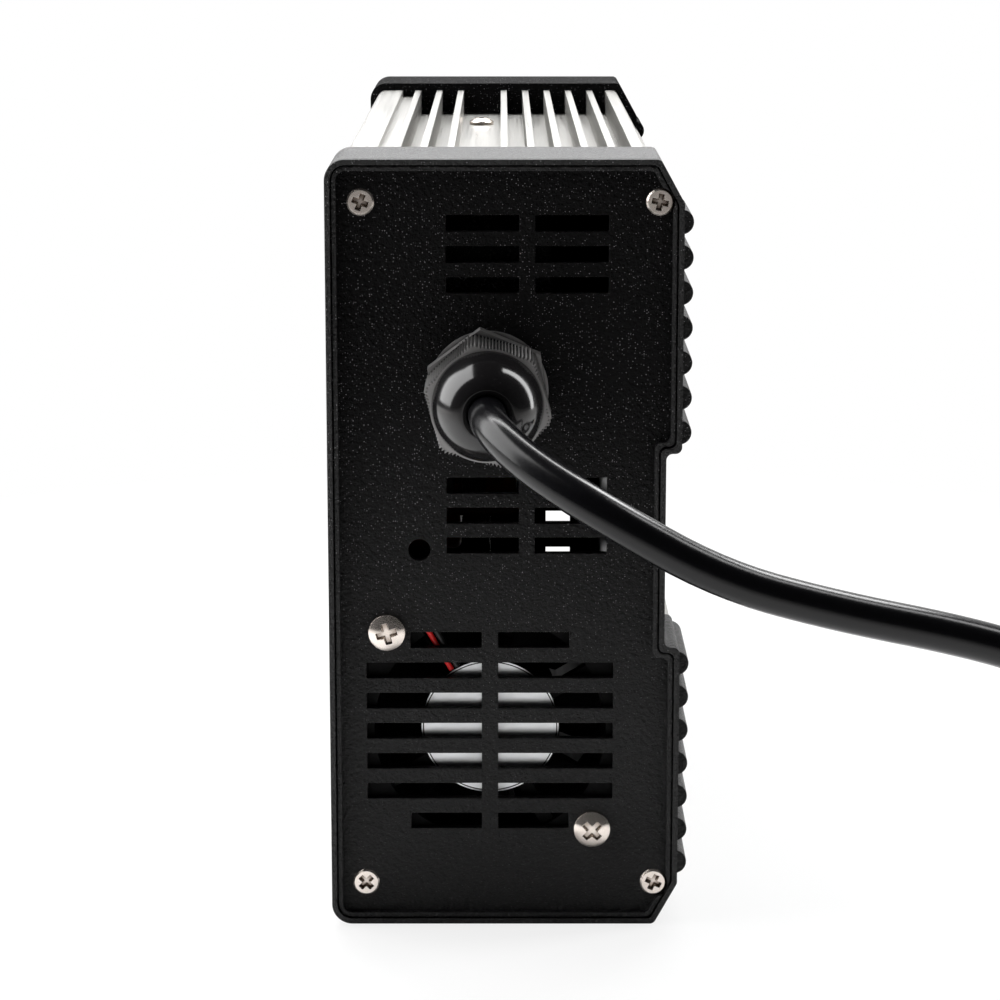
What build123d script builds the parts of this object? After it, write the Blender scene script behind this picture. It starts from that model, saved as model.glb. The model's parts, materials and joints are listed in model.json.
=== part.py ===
"""A lithium battery charger: a finned aluminium case standing on its narrow side, with its mains lead.

Millimetres. X runs across the case from its flat side to its finned side, Y from the lead's end
to the output end, and Z up. The origin is on the floor, midway between the case's sides and ends.
"""

import os
from math import cos, degrees, hypot, radians, sin, tan

from build123d import *

os.makedirs("parts", exist_ok=True)

# Case and end caps
case_length = 250.0
case_height = 189.2
case_width = 87.2
rib_proud = 2.35
cap_wall = 2.0
cap_fit = 0.2
skirt_depth = 28.8
face_recess = 1.8
face_thickness = 2.2
corner_radius = 5.0
edge_radius = 1.6
bevel_x = 5.7
bevel_z = 10.4
waist_half_height = 24.0
waist_depth = 3.75
rim_border = 1.3
bead_groove = 0.4
bead_width = 1.0
bead_drop = 0.35

# Rounded ribs on the caps and the fins that they cover
rib_radius = 3.0
rib_pitch = 8.47
first_rib_offset = 28.7
rib_setback = 2.6
fin_height = 7.4
fin_floor_depth = 2.2
case_wall = 2.3
cavity_radius = 2.0

# Fins along the narrow sides
top_fin_thickness = 1.9
top_fin_pitch = 6.78
last_fin_clearance = 3.0
screw_channel_index = 3
first_top_fin_from_side = 15.3
side_band_width = 8.2
band_groove_depth = 2.0
far_band_inset = 10.25

# Corner screws, cap to case
corner_screw_radius = 1.5
corner_head_radius = 3.3
corner_head_depth = 1.9
corner_screw_length = 14.0
corner_screw_turns = (-20.0, 45.0, -12.0, -25.0)
corner_near_x = 8.4
corner_far_inset = 5.75
corner_inset_z = 10.2
screw_slack = 0.2
head_bevel = 0.45
recess_reach = 1.22
recess_blade = 0.42
recess_taper = 14.0

# Vent slots
slot_height = 4.0
vent_slot_width = 17.4
vent_column_pitch = 21.2
vent_row_pitch = 7.4
vent_centre_x = 4.2
top_vent_below_top = 22.7
middle_vent_below_top = 86.2
rear_slot_width = 8.2
rear_slot_spacing = 34.2
rear_slot_pitch = 12.5
rear_slot_rows = 6
rear_lowest_slot = 16.2
spare_hole_radius = 2.7
spare_hole_x = -21.7
spare_hole_below_top = 94.7

# Fan
fan_x = -4.7
fan_z = 49.0
fan_size = 60.0
fan_depth = 25.0
fan_screw_spacing = 50.0
fan_flange = 4.0
fan_bore_radius = 28.3
fan_corner_radius = 4.0
fan_hub_radius = 17.0
fan_hub_setback = 1.4
fan_hub_thickness = 2.0
fan_strut_width = 3.4
fan_strut_depth = 2.6
fan_blade_count = 7
fan_tip_clearance = 0.8
fan_rotor_gap = 0.7
fan_shaft_radius = 1.5
fan_running_gap = 0.05
fan_bearing_radius = 4.0
fan_bearing_length = 4.0
fan_post_wall = 1.2
fan_cup_wall = 1.0
fan_magnet_thickness = 1.5
fan_label_thickness = 0.15
fan_screw_hole_radius = 2.2
fan_screw_radius = 2.1
fan_screw_head_radius = 4.45
fan_screw_head_height = 2.5
fan_screw_length = 10.0
fan_screw_turns = (15.0, 45.0)
fan_header_size = (6.0, 7.0, 6.0)
fan_plug_size = (7.0, 6.0, 5.0)
fan_header_from_edge = 4.15
fan_header_z = 64.0
fan_contact_pitch = 2.5
fan_lead_spread = 1.6
grille_row_pitch = 7.66
grille_slot_width = 28.0
grille_end_slot_width = 17.3
grille_bar = 4.0
grille_rows = 7

# Cable gland and lead
gland_x = -5.1
gland_below_top = 55.4
gland_across_flats = 27.0
gland_hex_turn = 45.0
gland_body_turn = 37.0
gland_thread_radius = 11.2
gland_washer_thickness = 1.0
gland_body_thickness = 4.0
gland_nut_length = 14.0
gland_dome_length = 10.5
gland_dome_radius = 13.3
gland_mouth_radius = 5.6
gland_locknut_thickness = 5.0
gland_locknut_flats = 28.0
gland_clearance = 0.15
cord_diameter = 8.8
cord_inside = 24.0
cord_straight = 9.0

# The lead's put-away coil, plug and tie
coil_x = 213.0
coil_behind_front = 6.65
coil_inner_turn_radius = 40.0
coil_columns = 3
coil_layers = 2
tail_length = 48.0
tie_thickness = 1.0
tie_width = 9.0
tie_gap = 0.15
tie_turn = 150.0
plug_width = 27.0
plug_length = 34.0
relief_length = 32.0
relief_end_radius = 5.6
blade_spacing = 12.7
blade_width = 6.35
blade_thickness = 1.5
blade_length = 17.0
earth_pin_radius = 2.4
earth_pin_length = 20.0
earth_pin_drop = 7.5
blade_lift = 4.4

# Inner leads
lead_radius = 1.2
fan_lead_radius = 0.65

# Circuit board and what stands on it: y counts from the board's front edge, z from the floor
board_gap = 4.0
board_thickness = 1.6
board_groove = 1.9
board_rail = 1.5
board_rail_height = 3.0
board_edge_clearance = 0.3
board_start = 10.0
board_end_gap = 24.0
sheet_thickness = 0.4
core_size = 42.0
core_thickness = 18.0
core_leg = 12.0
core_window = 9.0
core_window_height = 28.0
core_y = 97.65
core_z = 90.0
winding_depth = 36.0
winding_clearance = 0.3
inductor_radius = 19.0
inductor_hole_radius = 7.5
inductor_depth = 21.0
inductor_wire = 2.0
inductor_y = 25.65
inductor_below_top = 91.2
choke_radius = 13.0
choke_hole_radius = 5.0
choke_depth = 14.0
choke_wire = 1.6
choke_y = 20.65
choke_z = 44.0
bulk_radius = 12.5
bulk_height = 45.0
bulk_y = 21.65
bulk_below_top = 44.7
bulk_pitch = 28.0
output_cap_radius = 8.0
output_cap_height = 28.0
output_cap_y = 163.0
output_cap_z = 48.0
output_cap_pitch = 18.0
box_cap_size = (20.0, 26.0, 12.0)
box_cap_y = 52.0
box_cap_z = 44.0
control_board_size = (34.0, 44.0)
control_board_y = 137.0
control_board_z = 82.0

# Parts clamped under the top wall
transistor_size = (16.0, 20.0, 5.0)
transistor_count = 4
transistor_pitch = 20.0
transistor_lead_width = 1.2
pad_thickness = 0.3
bar_width = 12.0
bar_thickness = 4.0
clamp_screw_from_rear = 64.0
clamp_screw_radius = 1.7
clamp_head_radius = 3.7
clamp_head_height = 2.3
rectifier_size = (20.0, 4.5, 25.0)
rectifier_y = 64.0
rectifier_below_top = 47.2

# Earth connection and mains connector
connector_x = 4.5
connector_from_board_edge = 3.15
connector_below_gland = 22.0
connector_size = (5.0, 8.0, 10.6)
connector_lead_drop = 12.0
wire_spread = 1.5
earth_behind_panel = 23.85
earth_below_gland = 46.2
earth_tag_radius = 4.0
earth_tag_thickness = 0.8
earth_tag_reach = 8.6
earth_screw_radius = 1.5
earth_screw_head_radius = 3.0
earth_screw_head_height = 1.8
earth_screw_length = 2.0

# Output socket
socket_below_top = 61.2
socket_plate_width = 26.0
socket_plate_height = 31.0
socket_barrel_radius = 11.0
socket_barrel_length = 20.0
socket_insert_radius = 9.0
socket_contact_radius = 1.9
socket_contact_bore = 1.15
socket_screw_radius = 1.5
socket_screw_head_radius = 2.8
socket_screw_length = 8.0
socket_screw_inset = 3.5
socket_insert_depth = 5.0
socket_insert_length = 8.0
socket_contact_length = 18.5
socket_contact_circle = 4.6
lamp_radius = 2.5
lamp_spacing = 12.0
lamp_above_socket = 28.0
lamp_proud = 1.2
lamp_clearance = 0.1

# Places that follow from the sizes above
top_vent_z = case_height - top_vent_below_top
middle_vent_z = case_height - middle_vent_below_top
spare_hole_z = case_height - spare_hole_below_top
gland_z = case_height - gland_below_top
inductor_z = case_height - inductor_below_top
bulk_z = case_height - bulk_below_top
rectifier_z = case_height - rectifier_below_top
connector_z = gland_z - connector_below_gland
earth_z = gland_z - earth_below_gland
socket_z = case_height - socket_below_top
lamp_z = socket_z + lamp_above_socket
ribs_per_group = 1 + int((case_height / 2 - bevel_z - 0.8 * rib_radius - first_rib_offset) / rib_pitch)
screw_proud = max(0.0, fan_screw_head_height - face_recess)
half_width = case_width / 2
side_x = -half_width
rim_x = half_width - rib_proud
front_y = -(case_length + screw_proud) / 2 + screw_proud
rear_y = front_y + case_length
middle_z = case_height / 2
half_height = case_height / 2
skin = cap_wall + cap_fit
case_side_x = side_x + skin
fin_floor_x = rim_x - waist_depth - skin - fin_floor_depth
panel_y = front_y + face_recess
inner_front_y = panel_y + face_thickness
rear_panel_y = rear_y - face_recess
inner_rear_y = rear_panel_y - face_thickness
case_floor_half = half_height - skin - fin_height
cavity_left = case_side_x + case_wall
cavity_right = fin_floor_x - case_wall
cavity_half = case_floor_half - case_wall
first_top_fin_x = side_x + first_top_fin_from_side
far_band_x = rim_x - far_band_inset
top_fin_count = 1 + int((far_band_x - last_fin_clearance - first_top_fin_x) / top_fin_pitch)
bead_inset = rim_border + bead_groove
face_inset = bead_inset + bead_width
clamp_y = rear_y - clamp_screw_from_rear
earth_y = panel_y + earth_behind_panel
fan_front_y = inner_front_y
fan_back_y = fan_front_y + fan_depth
board_x = cavity_left + board_gap
board_face_x = board_x + board_thickness
board_front_y = fan_back_y + board_start
board_rear_y = inner_rear_y - board_end_gap
board_half = cavity_half - board_edge_clearance
fan_header_y = board_front_y + fan_header_from_edge
connector_y = board_front_y + connector_from_board_edge


def facing(y):
    """The plane across the case at depth y, seen from the lead's end: local x is X, local y is Z."""
    return Plane.XZ.offset(-y)


def on_board(height=0.0):
    """A plane over the board's component side: local x runs back from its front edge, local y is Z."""
    return Plane(origin=(board_face_x + height, board_front_y, 0), x_dir=(0, 1, 0), z_dir=(1, 0, 0))


def pointing(x, y, z, sign, turn=0.0):
    """A place turned about its own z axis, which points out of an end: sign 1 is the lead's end, -1 the other."""
    across = (cos(radians(turn)), 0, sin(radians(turn)))
    return Plane(origin=(x, y, z), x_dir=across, z_dir=(0, -sign, 0))


def save(builder, name):
    """Labels a finished piece and writes its file."""
    builder.part.label = name
    export_step(builder.part, f"parts/{name}.step")


def rim_points(inset):
    """Corners of the cap's outline, moved inwards, from the bottom of the flat side round."""
    slant = hypot(bevel_x, bevel_z)
    along_top = (slant - bevel_x) / bevel_z * inset
    along_side = (slant - bevel_z) / bevel_x * inset
    left = side_x + inset
    right = rim_x - inset
    waist = right - waist_depth
    reach = half_height - inset
    bevel_top = rim_x - bevel_x - along_top
    bevel_side = half_height - bevel_z - along_side
    step = waist_half_height + inset
    half = [(waist, step), (right, step), (right, bevel_side), (bevel_top, reach), (left, reach)]
    lower = [(x, middle_z - z) for x, z in reversed(half)]
    upper = [(x, middle_z + z) for x, z in half]
    return lower + upper


def rim_outline(inset=0.0, mode=Mode.ADD):
    """The cap's outline as a face in the sketch that is open."""
    side = max(corner_radius - inset, 0.8)
    bend = edge_radius
    radii = [side, bend, bend, bend, bend, bend, bend, bend, bend, side]
    with BuildLine() as outline:
        FilletPolyline(*rim_points(inset), radius=radii, close=True)
    make_face(outline.edges(), mode=mode)


def rib_heights():
    """Heights of the rounded ribs, both groups."""
    offsets = [first_rib_offset + i * rib_pitch for i in range(ribs_per_group)]
    return [middle_z + side * offset for side in (-1, 1) for offset in offsets]


def case_half(grow, side):
    """Corners and radii of half the extrusion's outline, from its waist over the fins to its flat side.

    Heights count from the middle. Side 1 is the upper half, whose one missing fin leaves the screw channel.
    """
    inset = skin - grow
    rim = rim_points(inset)
    waist, step, bevel_side, bevel_top, corner = [(x, z - middle_z) for x, z in rim[5:]]
    fin_half = rib_radius - skin + grow
    fin_tip_x = half_width - inset
    floor_x = fin_floor_x + grow
    tip_round = 0.8 * fin_half
    points = [(*waist, edge_radius), (*step, 0)]
    for i in range(ribs_per_group):
        centre = first_rib_offset + i * rib_pitch
        inner_x = step[0] if i == 0 else floor_x
        outer_x = step[0] if i == ribs_per_group - 1 else floor_x
        points.append((inner_x, centre - fin_half, 0))
        points.append((fin_tip_x, centre - fin_half, tip_round))
        points.append((fin_tip_x, centre + fin_half, tip_round))
        points.append((outer_x, centre + fin_half, 0))
    points += [(*bevel_side, edge_radius), (*bevel_top, edge_radius)]
    top = half_height - inset
    floor = case_floor_half + grow
    channel_right = far_band_x - grow
    for i in reversed(range(top_fin_count)):
        if side > 0 and i == screw_channel_index:
            continue
        fin_x = first_top_fin_x + i * top_fin_pitch
        fin_right = fin_x + top_fin_thickness / 2 + grow
        points += [(channel_right, top, 0), (channel_right, floor, 0)]
        points += [(fin_right, floor, 0), (fin_right, top, 0)]
        channel_right = fin_x - top_fin_thickness / 2 - grow
    groove = top - band_groove_depth
    band_x = case_side_x + side_band_width + grow
    points += [(channel_right, top, 0), (channel_right, groove, 0)]
    points += [(band_x, groove, 0), (band_x, top, 0)]
    points.append((*corner, max(corner_radius - inset, 0.8)))
    return [(x, middle_z + side * z, radius) for x, z, radius in points]


def case_outline(grow=0.0):
    """The extrusion's outline with its fins as a face in the open sketch, larger by grow all round."""
    corners = list(reversed(case_half(grow, -1))) + case_half(grow, 1)
    with BuildLine() as outline:
        FilletPolyline(*[(x, z) for x, z, _ in corners], radius=[r for _, _, r in corners], close=True)
    make_face(outline.edges())


def corner_places(y, sign):
    """The four corner screws' places at one end."""
    corners = [(x, side) for x in (side_x + corner_near_x, rim_x - corner_far_inset) for side in (1, -1)]
    return [
        pointing(x, y, middle_z + side * (half_height - corner_inset_z), sign, turn)
        for (x, side), turn in zip(corners, corner_screw_turns)
    ]


def cap_blank(end_y, inward):
    """An end cap before its openings: skirt, ribs, recessed face, rim bead and the case's socket."""
    with BuildPart() as blank:
        with BuildSketch(facing(end_y + inward * rib_setback)):
            with Locations(*[(half_width - rib_radius, z) for z in rib_heights()]):
                Circle(rib_radius)
        extrude(amount=-inward * (skirt_depth - rib_setback))
        with BuildSketch(facing(end_y)):
            rim_outline()
        extrude(amount=-inward * skirt_depth)
        with BuildSketch(facing(end_y)):
            rim_outline(rim_border)
        extrude(amount=-inward * face_recess, mode=Mode.SUBTRACT)
        with BuildSketch(facing(end_y + inward * face_recess)):
            rim_outline(bead_inset)
            rim_outline(face_inset, mode=Mode.SUBTRACT)
        extrude(amount=inward * (face_recess - bead_drop))
        with BuildSketch(facing(end_y + inward * (face_recess + face_thickness))):
            add(socket_profile.sketch_local)
        extrude(amount=-inward * skirt_depth, mode=Mode.SUBTRACT)
    return blank.part


def corner_holes(end_y, inward):
    """Countersunk holes for the four corner screws, cut clear of the bead beside them."""
    panel = end_y + inward * face_recess
    with Locations(*corner_places(panel, inward)):
        Cone(
            corner_screw_radius + screw_slack,
            corner_head_radius,
            corner_head_depth,
            align=(Align.CENTER, Align.CENTER, Align.MAX),
            mode=Mode.SUBTRACT,
        )
        Cylinder(corner_screw_radius + screw_slack, 3 * face_thickness, mode=Mode.SUBTRACT)
        Cylinder(
            corner_head_radius + screw_slack,
            face_recess,
            align=(Align.CENTER, Align.CENTER, Align.MIN),
            mode=Mode.SUBTRACT,
        )


def vent_slots(centre_x, centre_z):
    """A block of vent slots, two across and three high, in the sketch that is open."""
    with Locations((centre_x, centre_z)):
        with GridLocations(vent_column_pitch, vent_row_pitch, 2, 3):
            Rectangle(vent_slot_width, slot_height)


def cross_recess(radius, depth):
    """A driver's cross that tapers down from the origin, to sink into a screw head of this radius."""
    with BuildPart() as cross:
        with BuildSketch():
            Rectangle(recess_reach * radius, recess_blade * radius)
            Rectangle(recess_blade * radius, recess_reach * radius)
        extrude(amount=-depth, taper=recess_taper)
    return cross.part


def flat_screw(shank, head, head_depth, length):
    """A flat-headed screw: its cone ends level with the origin and a bevelled rim stands above that."""
    recess = cross_recess(head, 0.7 * head_depth)
    with BuildPart() as screw:
        with BuildSketch(Plane.XZ):
            with BuildLine():
                Polyline(
                    (0, head_bevel),
                    (head - head_bevel, head_bevel),
                    (head, 0),
                    (shank, -head_depth),
                    (shank, -length),
                    (0, -length),
                    close=True,
                )
            make_face()
        revolve(axis=Axis.Z)
        with Locations((0, 0, head_bevel)):
            add(recess, mode=Mode.SUBTRACT)
    return screw.part


def pan_screw(shank, head, head_height, length):
    """A pan-headed screw that stands on the origin with its shank below."""
    recess = cross_recess(head, 0.6 * head_height)
    with BuildPart() as screw:
        with BuildSketch(Plane.XZ):
            with BuildLine():
                crown = TangentArc((0, head_height), (head, 0.35 * head_height), tangent=(1, 0))
                Polyline(crown @ 1, (head, 0), (shank, 0), (shank, -length), (0, -length), (0, head_height))
            make_face()
        revolve(axis=Axis.Z)
        with Locations((0, 0, head_height)):
            add(recess, mode=Mode.SUBTRACT)
    return screw.part


def tube(points, radius):
    """A round lead along straight runs joined by arcs."""
    with BuildPart() as run:
        with BuildLine() as path:
            FilletPolyline(*points, radius=arc_radii(points))
        with BuildSketch(Plane(origin=path.line @ 0, z_dir=path.line % 0)):
            Circle(radius)
        sweep(path=path.line)
    return run.part


def arc_radii(points, share=0.45):
    """The radius of each arc: a share of its shorter run over the tangent of half its turn."""
    radii = []
    for before, corner, after in zip(points, points[1:], points[2:]):
        first = Vector(*corner) - Vector(*before)
        second = Vector(*after) - Vector(*corner)
        turn = radians(first.get_angle(second))
        radii.append(share * min(first.length, second.length) / tan(turn / 2))
    return radii


# The extrusion's outline, and the same outline with room for it inside the caps
with BuildSketch() as case_profile:
    case_outline()
with BuildSketch() as socket_profile:
    case_outline(cap_fit)

# Finned case, one extrusion
with BuildPart() as case_extrusion:
    with BuildSketch(facing(inner_front_y)):
        add(case_profile.sketch_local)
        with Locations(((cavity_left + cavity_right) / 2, middle_z)):
            RectangleRounded(
                cavity_right - cavity_left, 2 * cavity_half, cavity_radius, mode=Mode.SUBTRACT
            )
        for side in (-1, 1):
            for edge in (-1, 1):
                rail_x = board_x + board_thickness / 2 + edge * (board_groove + board_rail) / 2
                with Locations((rail_x, middle_z + side * (cavity_half - board_rail_height / 2 + 0.5))):
                    Rectangle(board_rail, board_rail_height + 1)
        for place in corner_places(inner_front_y, 1):
            with Locations((place.origin.X, place.origin.Z)):
                Circle(corner_screw_radius, mode=Mode.SUBTRACT)
    extrude(amount=-(inner_rear_y - inner_front_y))
    screw_x = first_top_fin_x + screw_channel_index * top_fin_pitch
    with Locations((screw_x, clamp_y, middle_z + case_floor_half)):
        Hole(clamp_screw_radius, depth=case_wall + 1)
    with Locations(Plane(origin=(cavity_right, earth_y, earth_z), x_dir=(0, 1, 0), z_dir=(-1, 0, 0))):
        Hole(earth_screw_radius, depth=earth_screw_length)
save(case_extrusion, "case_extrusion")

# Front cap with its vents, fan grille, gland hole and spare hole
fan_screw_places = [(fan_x - fan_screw_spacing / 2, fan_z + fan_screw_spacing / 2)]
fan_screw_places.append((fan_x + fan_screw_spacing / 2, fan_z - fan_screw_spacing / 2))
front_blank = cap_blank(front_y, 1)
with BuildPart() as front_end_cap:
    add(front_blank)
    corner_holes(front_y, 1)
    with BuildSketch(facing(panel_y)):
        vent_slots(vent_centre_x, top_vent_z)
        vent_slots(vent_centre_x, middle_vent_z)
        for row in range(grille_rows):
            z = fan_z + (row - (grille_rows - 1) / 2) * grille_row_pitch
            width = grille_end_slot_width if row in (0, grille_rows - 1) else grille_slot_width
            for side in (-1, 1):
                with Locations((fan_x + side * (grille_bar + width) / 2, z)):
                    Rectangle(width, slot_height)
        with Locations((gland_x, gland_z)):
            Circle(gland_thread_radius + gland_clearance)
        with Locations((spare_hole_x, spare_hole_z)):
            Circle(spare_hole_radius)
        with Locations(*fan_screw_places):
            Circle(fan_screw_radius + gland_clearance)
    extrude(amount=-face_thickness, mode=Mode.SUBTRACT)
save(front_end_cap, "front_end_cap")

# Rear cap with its vents, output socket and indicator holes
rear_slots_z = rear_lowest_slot + (rear_slot_rows - 1) * rear_slot_pitch / 2
socket_screw_x = socket_plate_width / 2 - socket_screw_inset
socket_screw_rise = socket_plate_height / 2 - socket_screw_inset
socket_screw_places = [(side * socket_screw_x, socket_z + side * socket_screw_rise) for side in (-1, 1)]
rear_blank = cap_blank(rear_y, -1)
with BuildPart() as rear_end_cap:
    add(rear_blank)
    corner_holes(rear_y, -1)
    with BuildSketch(facing(rear_panel_y)):
        with Locations((0, rear_slots_z)):
            with GridLocations(rear_slot_spacing, rear_slot_pitch, 2, rear_slot_rows):
                Rectangle(rear_slot_width, slot_height)
        with Locations((0, socket_z)):
            Circle(socket_barrel_radius + gland_clearance)
        with Locations(*socket_screw_places):
            Circle(socket_screw_radius)
        with Locations((0, lamp_z)):
            with GridLocations(lamp_spacing, 0, 2, 1):
                Circle(lamp_radius + lamp_clearance)
    extrude(amount=face_thickness, mode=Mode.SUBTRACT)
save(rear_end_cap, "rear_end_cap")

# Screws that hold the caps, four at each end
cap_screw = flat_screw(corner_screw_radius, corner_head_radius, corner_head_depth, corner_screw_length)
with BuildPart() as cap_screws:
    with Locations(*corner_places(panel_y, 1), *corner_places(rear_panel_y, -1)):
        add(cap_screw)
save(cap_screws, "cap_screws")


def fan_at(setback):
    """The plane across the fan at a depth behind its front face, facing out."""
    return pointing(fan_x, fan_front_y + setback, fan_z, 1)


# Fan frame: flanges, duct, struts, hub base and bearing post in one moulding
strut_length = fan_bore_radius - fan_hub_radius + 2
post_radius = fan_bearing_radius + fan_post_wall
rotor_front = fan_hub_setback + fan_hub_thickness + fan_rotor_gap
rotor_back = fan_depth - fan_rotor_gap
post_end = rotor_back - fan_cup_wall - fan_rotor_gap
lead_turn = 120.0
with BuildPart() as fan_frame:
    for setback in (0, fan_depth - fan_flange):
        with BuildSketch(fan_at(setback)):
            RectangleRounded(fan_size, fan_size, fan_corner_radius)
        extrude(amount=-fan_flange)
    with BuildSketch(fan_at(0)):
        Circle(fan_size / 2 - cap_fit)
    extrude(amount=-fan_depth)
    with BuildSketch(fan_at(0)):
        Circle(fan_bore_radius)
        with GridLocations(fan_screw_spacing, fan_screw_spacing, 2, 2):
            Circle(fan_screw_hole_radius)
    extrude(amount=-fan_depth, mode=Mode.SUBTRACT)
    with BuildSketch(fan_at(0)):
        with PolarLocations(fan_size / 2, 1, start_angle=lead_turn):
            Rectangle(fan_size / 3, 6 * fan_lead_radius)
    extrude(amount=-4 * fan_lead_radius, mode=Mode.SUBTRACT)
    with BuildSketch(fan_at(fan_hub_setback)):
        with PolarLocations((fan_hub_radius + fan_bore_radius) / 2, 4, start_angle=lead_turn):
            Rectangle(strut_length, fan_strut_width)
    extrude(amount=-fan_strut_depth)
    with BuildSketch(fan_at(fan_hub_setback)):
        Circle(fan_hub_radius)
    extrude(amount=-fan_hub_thickness)
    with BuildSketch(fan_at(fan_hub_setback)):
        Circle(post_radius)
    extrude(amount=-(post_end - fan_hub_setback))
    with BuildSketch(fan_at(fan_hub_setback + fan_hub_thickness / 2)):
        Circle(fan_bearing_radius)
    extrude(amount=-fan_depth, mode=Mode.SUBTRACT)
save(fan_frame, "fan_frame")

with BuildPart() as fan_label:
    with BuildSketch(fan_at(fan_hub_setback)):
        Circle(fan_hub_radius - cap_fit)
    extrude(amount=fan_label_thickness)
save(fan_label, "fan_label")

# Two plain bearings pressed into the post
bearing_front = fan_hub_setback + fan_hub_thickness
with BuildPart() as fan_bearings:
    for setback in (bearing_front, post_end - fan_bearing_length):
        with BuildSketch(fan_at(setback)):
            Circle(fan_bearing_radius)
            Circle(fan_shaft_radius + fan_running_gap, mode=Mode.SUBTRACT)
        extrude(amount=-fan_bearing_length)
save(fan_bearings, "fan_bearings")

# Stator on the post, with its four windings
stator_rim = 2.0
tooth_width = 3.4
winding_gap = 0.1
cup_radius = fan_hub_radius - fan_rotor_gap / 2
magnet_radius = cup_radius - fan_cup_wall
stator_radius = magnet_radius - fan_magnet_thickness - fan_rotor_gap
stator_front = rotor_front + 2.5
stator_length = 10.0
with BuildPart() as fan_stator:
    with BuildSketch(fan_at(stator_front + 2)):
        Circle(stator_radius)
        Circle(stator_radius - stator_rim, mode=Mode.SUBTRACT)
        with PolarLocations(0, 4):
            Rectangle(2 * stator_radius - stator_rim, tooth_width)
        Circle(post_radius + stator_rim)
        Circle(post_radius, mode=Mode.SUBTRACT)
        with PolarLocations(stator_radius, 4, start_angle=45):
            Rectangle(6, 1.8, mode=Mode.SUBTRACT)
    extrude(amount=-(stator_length - 4))
save(fan_stator, "fan_stator")

with BuildPart() as fan_windings:
    with BuildSketch(fan_at(stator_front)):
        with PolarLocations((post_radius + stator_radius) / 2, 4):
            Rectangle(stator_radius - post_radius, 2 * tooth_width)
        Circle(stator_radius - stator_rim - winding_gap, mode=Mode.INTERSECT)
        Circle(post_radius + stator_rim + winding_gap, mode=Mode.SUBTRACT)
    extrude(amount=-stator_length)
    with BuildSketch(fan_at(stator_front + 2)):
        with PolarLocations(0, 4):
            Rectangle(2 * stator_radius, tooth_width)
    extrude(amount=-(stator_length - 4), mode=Mode.SUBTRACT)
save(fan_windings, "fan_windings")

# Rotor: cup and seven twisted blades in one moulding, turning about the fan's axis
blade_depth = rotor_back - rotor_front - 1.4
blade_tip_radius = fan_bore_radius - fan_tip_clearance
root_pitch = 50.0
tip_pitch = 36.0
blade_thickness_root = 1.6
blade_thickness_tip = 1.0


def blade_chord(pitch, thickness):
    """The chord that fills the blade's depth at this pitch."""
    return (blade_depth - thickness * cos(radians(pitch))) / sin(radians(pitch))


def radial_plane(radius, height):
    """A plane square to the fan's local x axis: local x runs round the fan, local y along its axis."""
    return Plane(origin=(radius, 0, height), x_dir=(0, 1, 0), z_dir=(1, 0, 0))


blade_middle = -(rotor_front + rotor_back) / 2
with BuildPart() as fan_blade:
    with BuildSketch(radial_plane(cup_radius - fan_cup_wall / 2, blade_middle)):
        Rectangle(blade_chord(root_pitch, blade_thickness_root), blade_thickness_root, rotation=root_pitch)
    with BuildSketch(radial_plane(fan_bore_radius, blade_middle)):
        Rectangle(blade_chord(tip_pitch, blade_thickness_tip), blade_thickness_tip, rotation=tip_pitch)
    loft()
    with Locations((0, 0, blade_middle)):
        Cylinder(blade_tip_radius, fan_depth, mode=Mode.INTERSECT)

with BuildPart(fan_at(0)) as fan_rotor:
    with BuildSketch(fan_at(rotor_front)):
        Circle(cup_radius)
    extrude(amount=-(rotor_back - rotor_front))
    with PolarLocations(0, fan_blade_count):
        add(fan_blade.part)
    with BuildSketch(fan_at(rotor_front)):
        Circle(magnet_radius)
    extrude(amount=-(rotor_back - rotor_front - fan_cup_wall), mode=Mode.SUBTRACT)
    with BuildSketch(fan_at(rotor_back)):
        Circle(fan_shaft_radius)
    extrude(amount=fan_depth, mode=Mode.SUBTRACT)
save(fan_rotor, "fan_rotor")

with BuildPart() as fan_magnet:
    with BuildSketch(fan_at(rotor_front + 1)):
        Circle(magnet_radius)
        Circle(magnet_radius - fan_magnet_thickness, mode=Mode.SUBTRACT)
    extrude(amount=-(stator_length + 4))
save(fan_magnet, "fan_magnet")

with BuildPart() as fan_shaft:
    with BuildSketch(fan_at(bearing_front + 0.3)):
        Circle(fan_shaft_radius)
    extrude(amount=-(rotor_back - bearing_front - 0.3))
save(fan_shaft, "fan_shaft")

fan_screw = pan_screw(fan_screw_radius, fan_screw_head_radius, fan_screw_head_height, fan_screw_length)
with BuildPart() as fan_screws:
    with Locations(*[pointing(x, panel_y, z, 1, t) for (x, z), t in zip(fan_screw_places, fan_screw_turns)]):
        add(fan_screw)
save(fan_screws, "fan_screws")


def gland_at(proud):
    """The plane across the cable gland at a distance out from the panel, facing out."""
    return pointing(gland_x, panel_y - proud, gland_z, 1)


# Cable gland: washer, body, clamping nut, seal and the locknut inside
body_start = gland_washer_thickness
nut_start = body_start + gland_body_thickness
dome_start = nut_start + gland_nut_length
mouth = dome_start + gland_dome_length
thread_end = dome_start - 1.5
bore_radius = cord_diameter / 2 + 3 * gland_clearance
seal_radius = gland_thread_radius - 1.8
with BuildPart() as gland_washer:
    with BuildSketch(gland_at(0)):
        Circle(gland_across_flats / 2 + 0.9)
        Circle(gland_thread_radius + gland_clearance, mode=Mode.SUBTRACT)
    extrude(amount=gland_washer_thickness)
save(gland_washer, "gland_washer")

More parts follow.
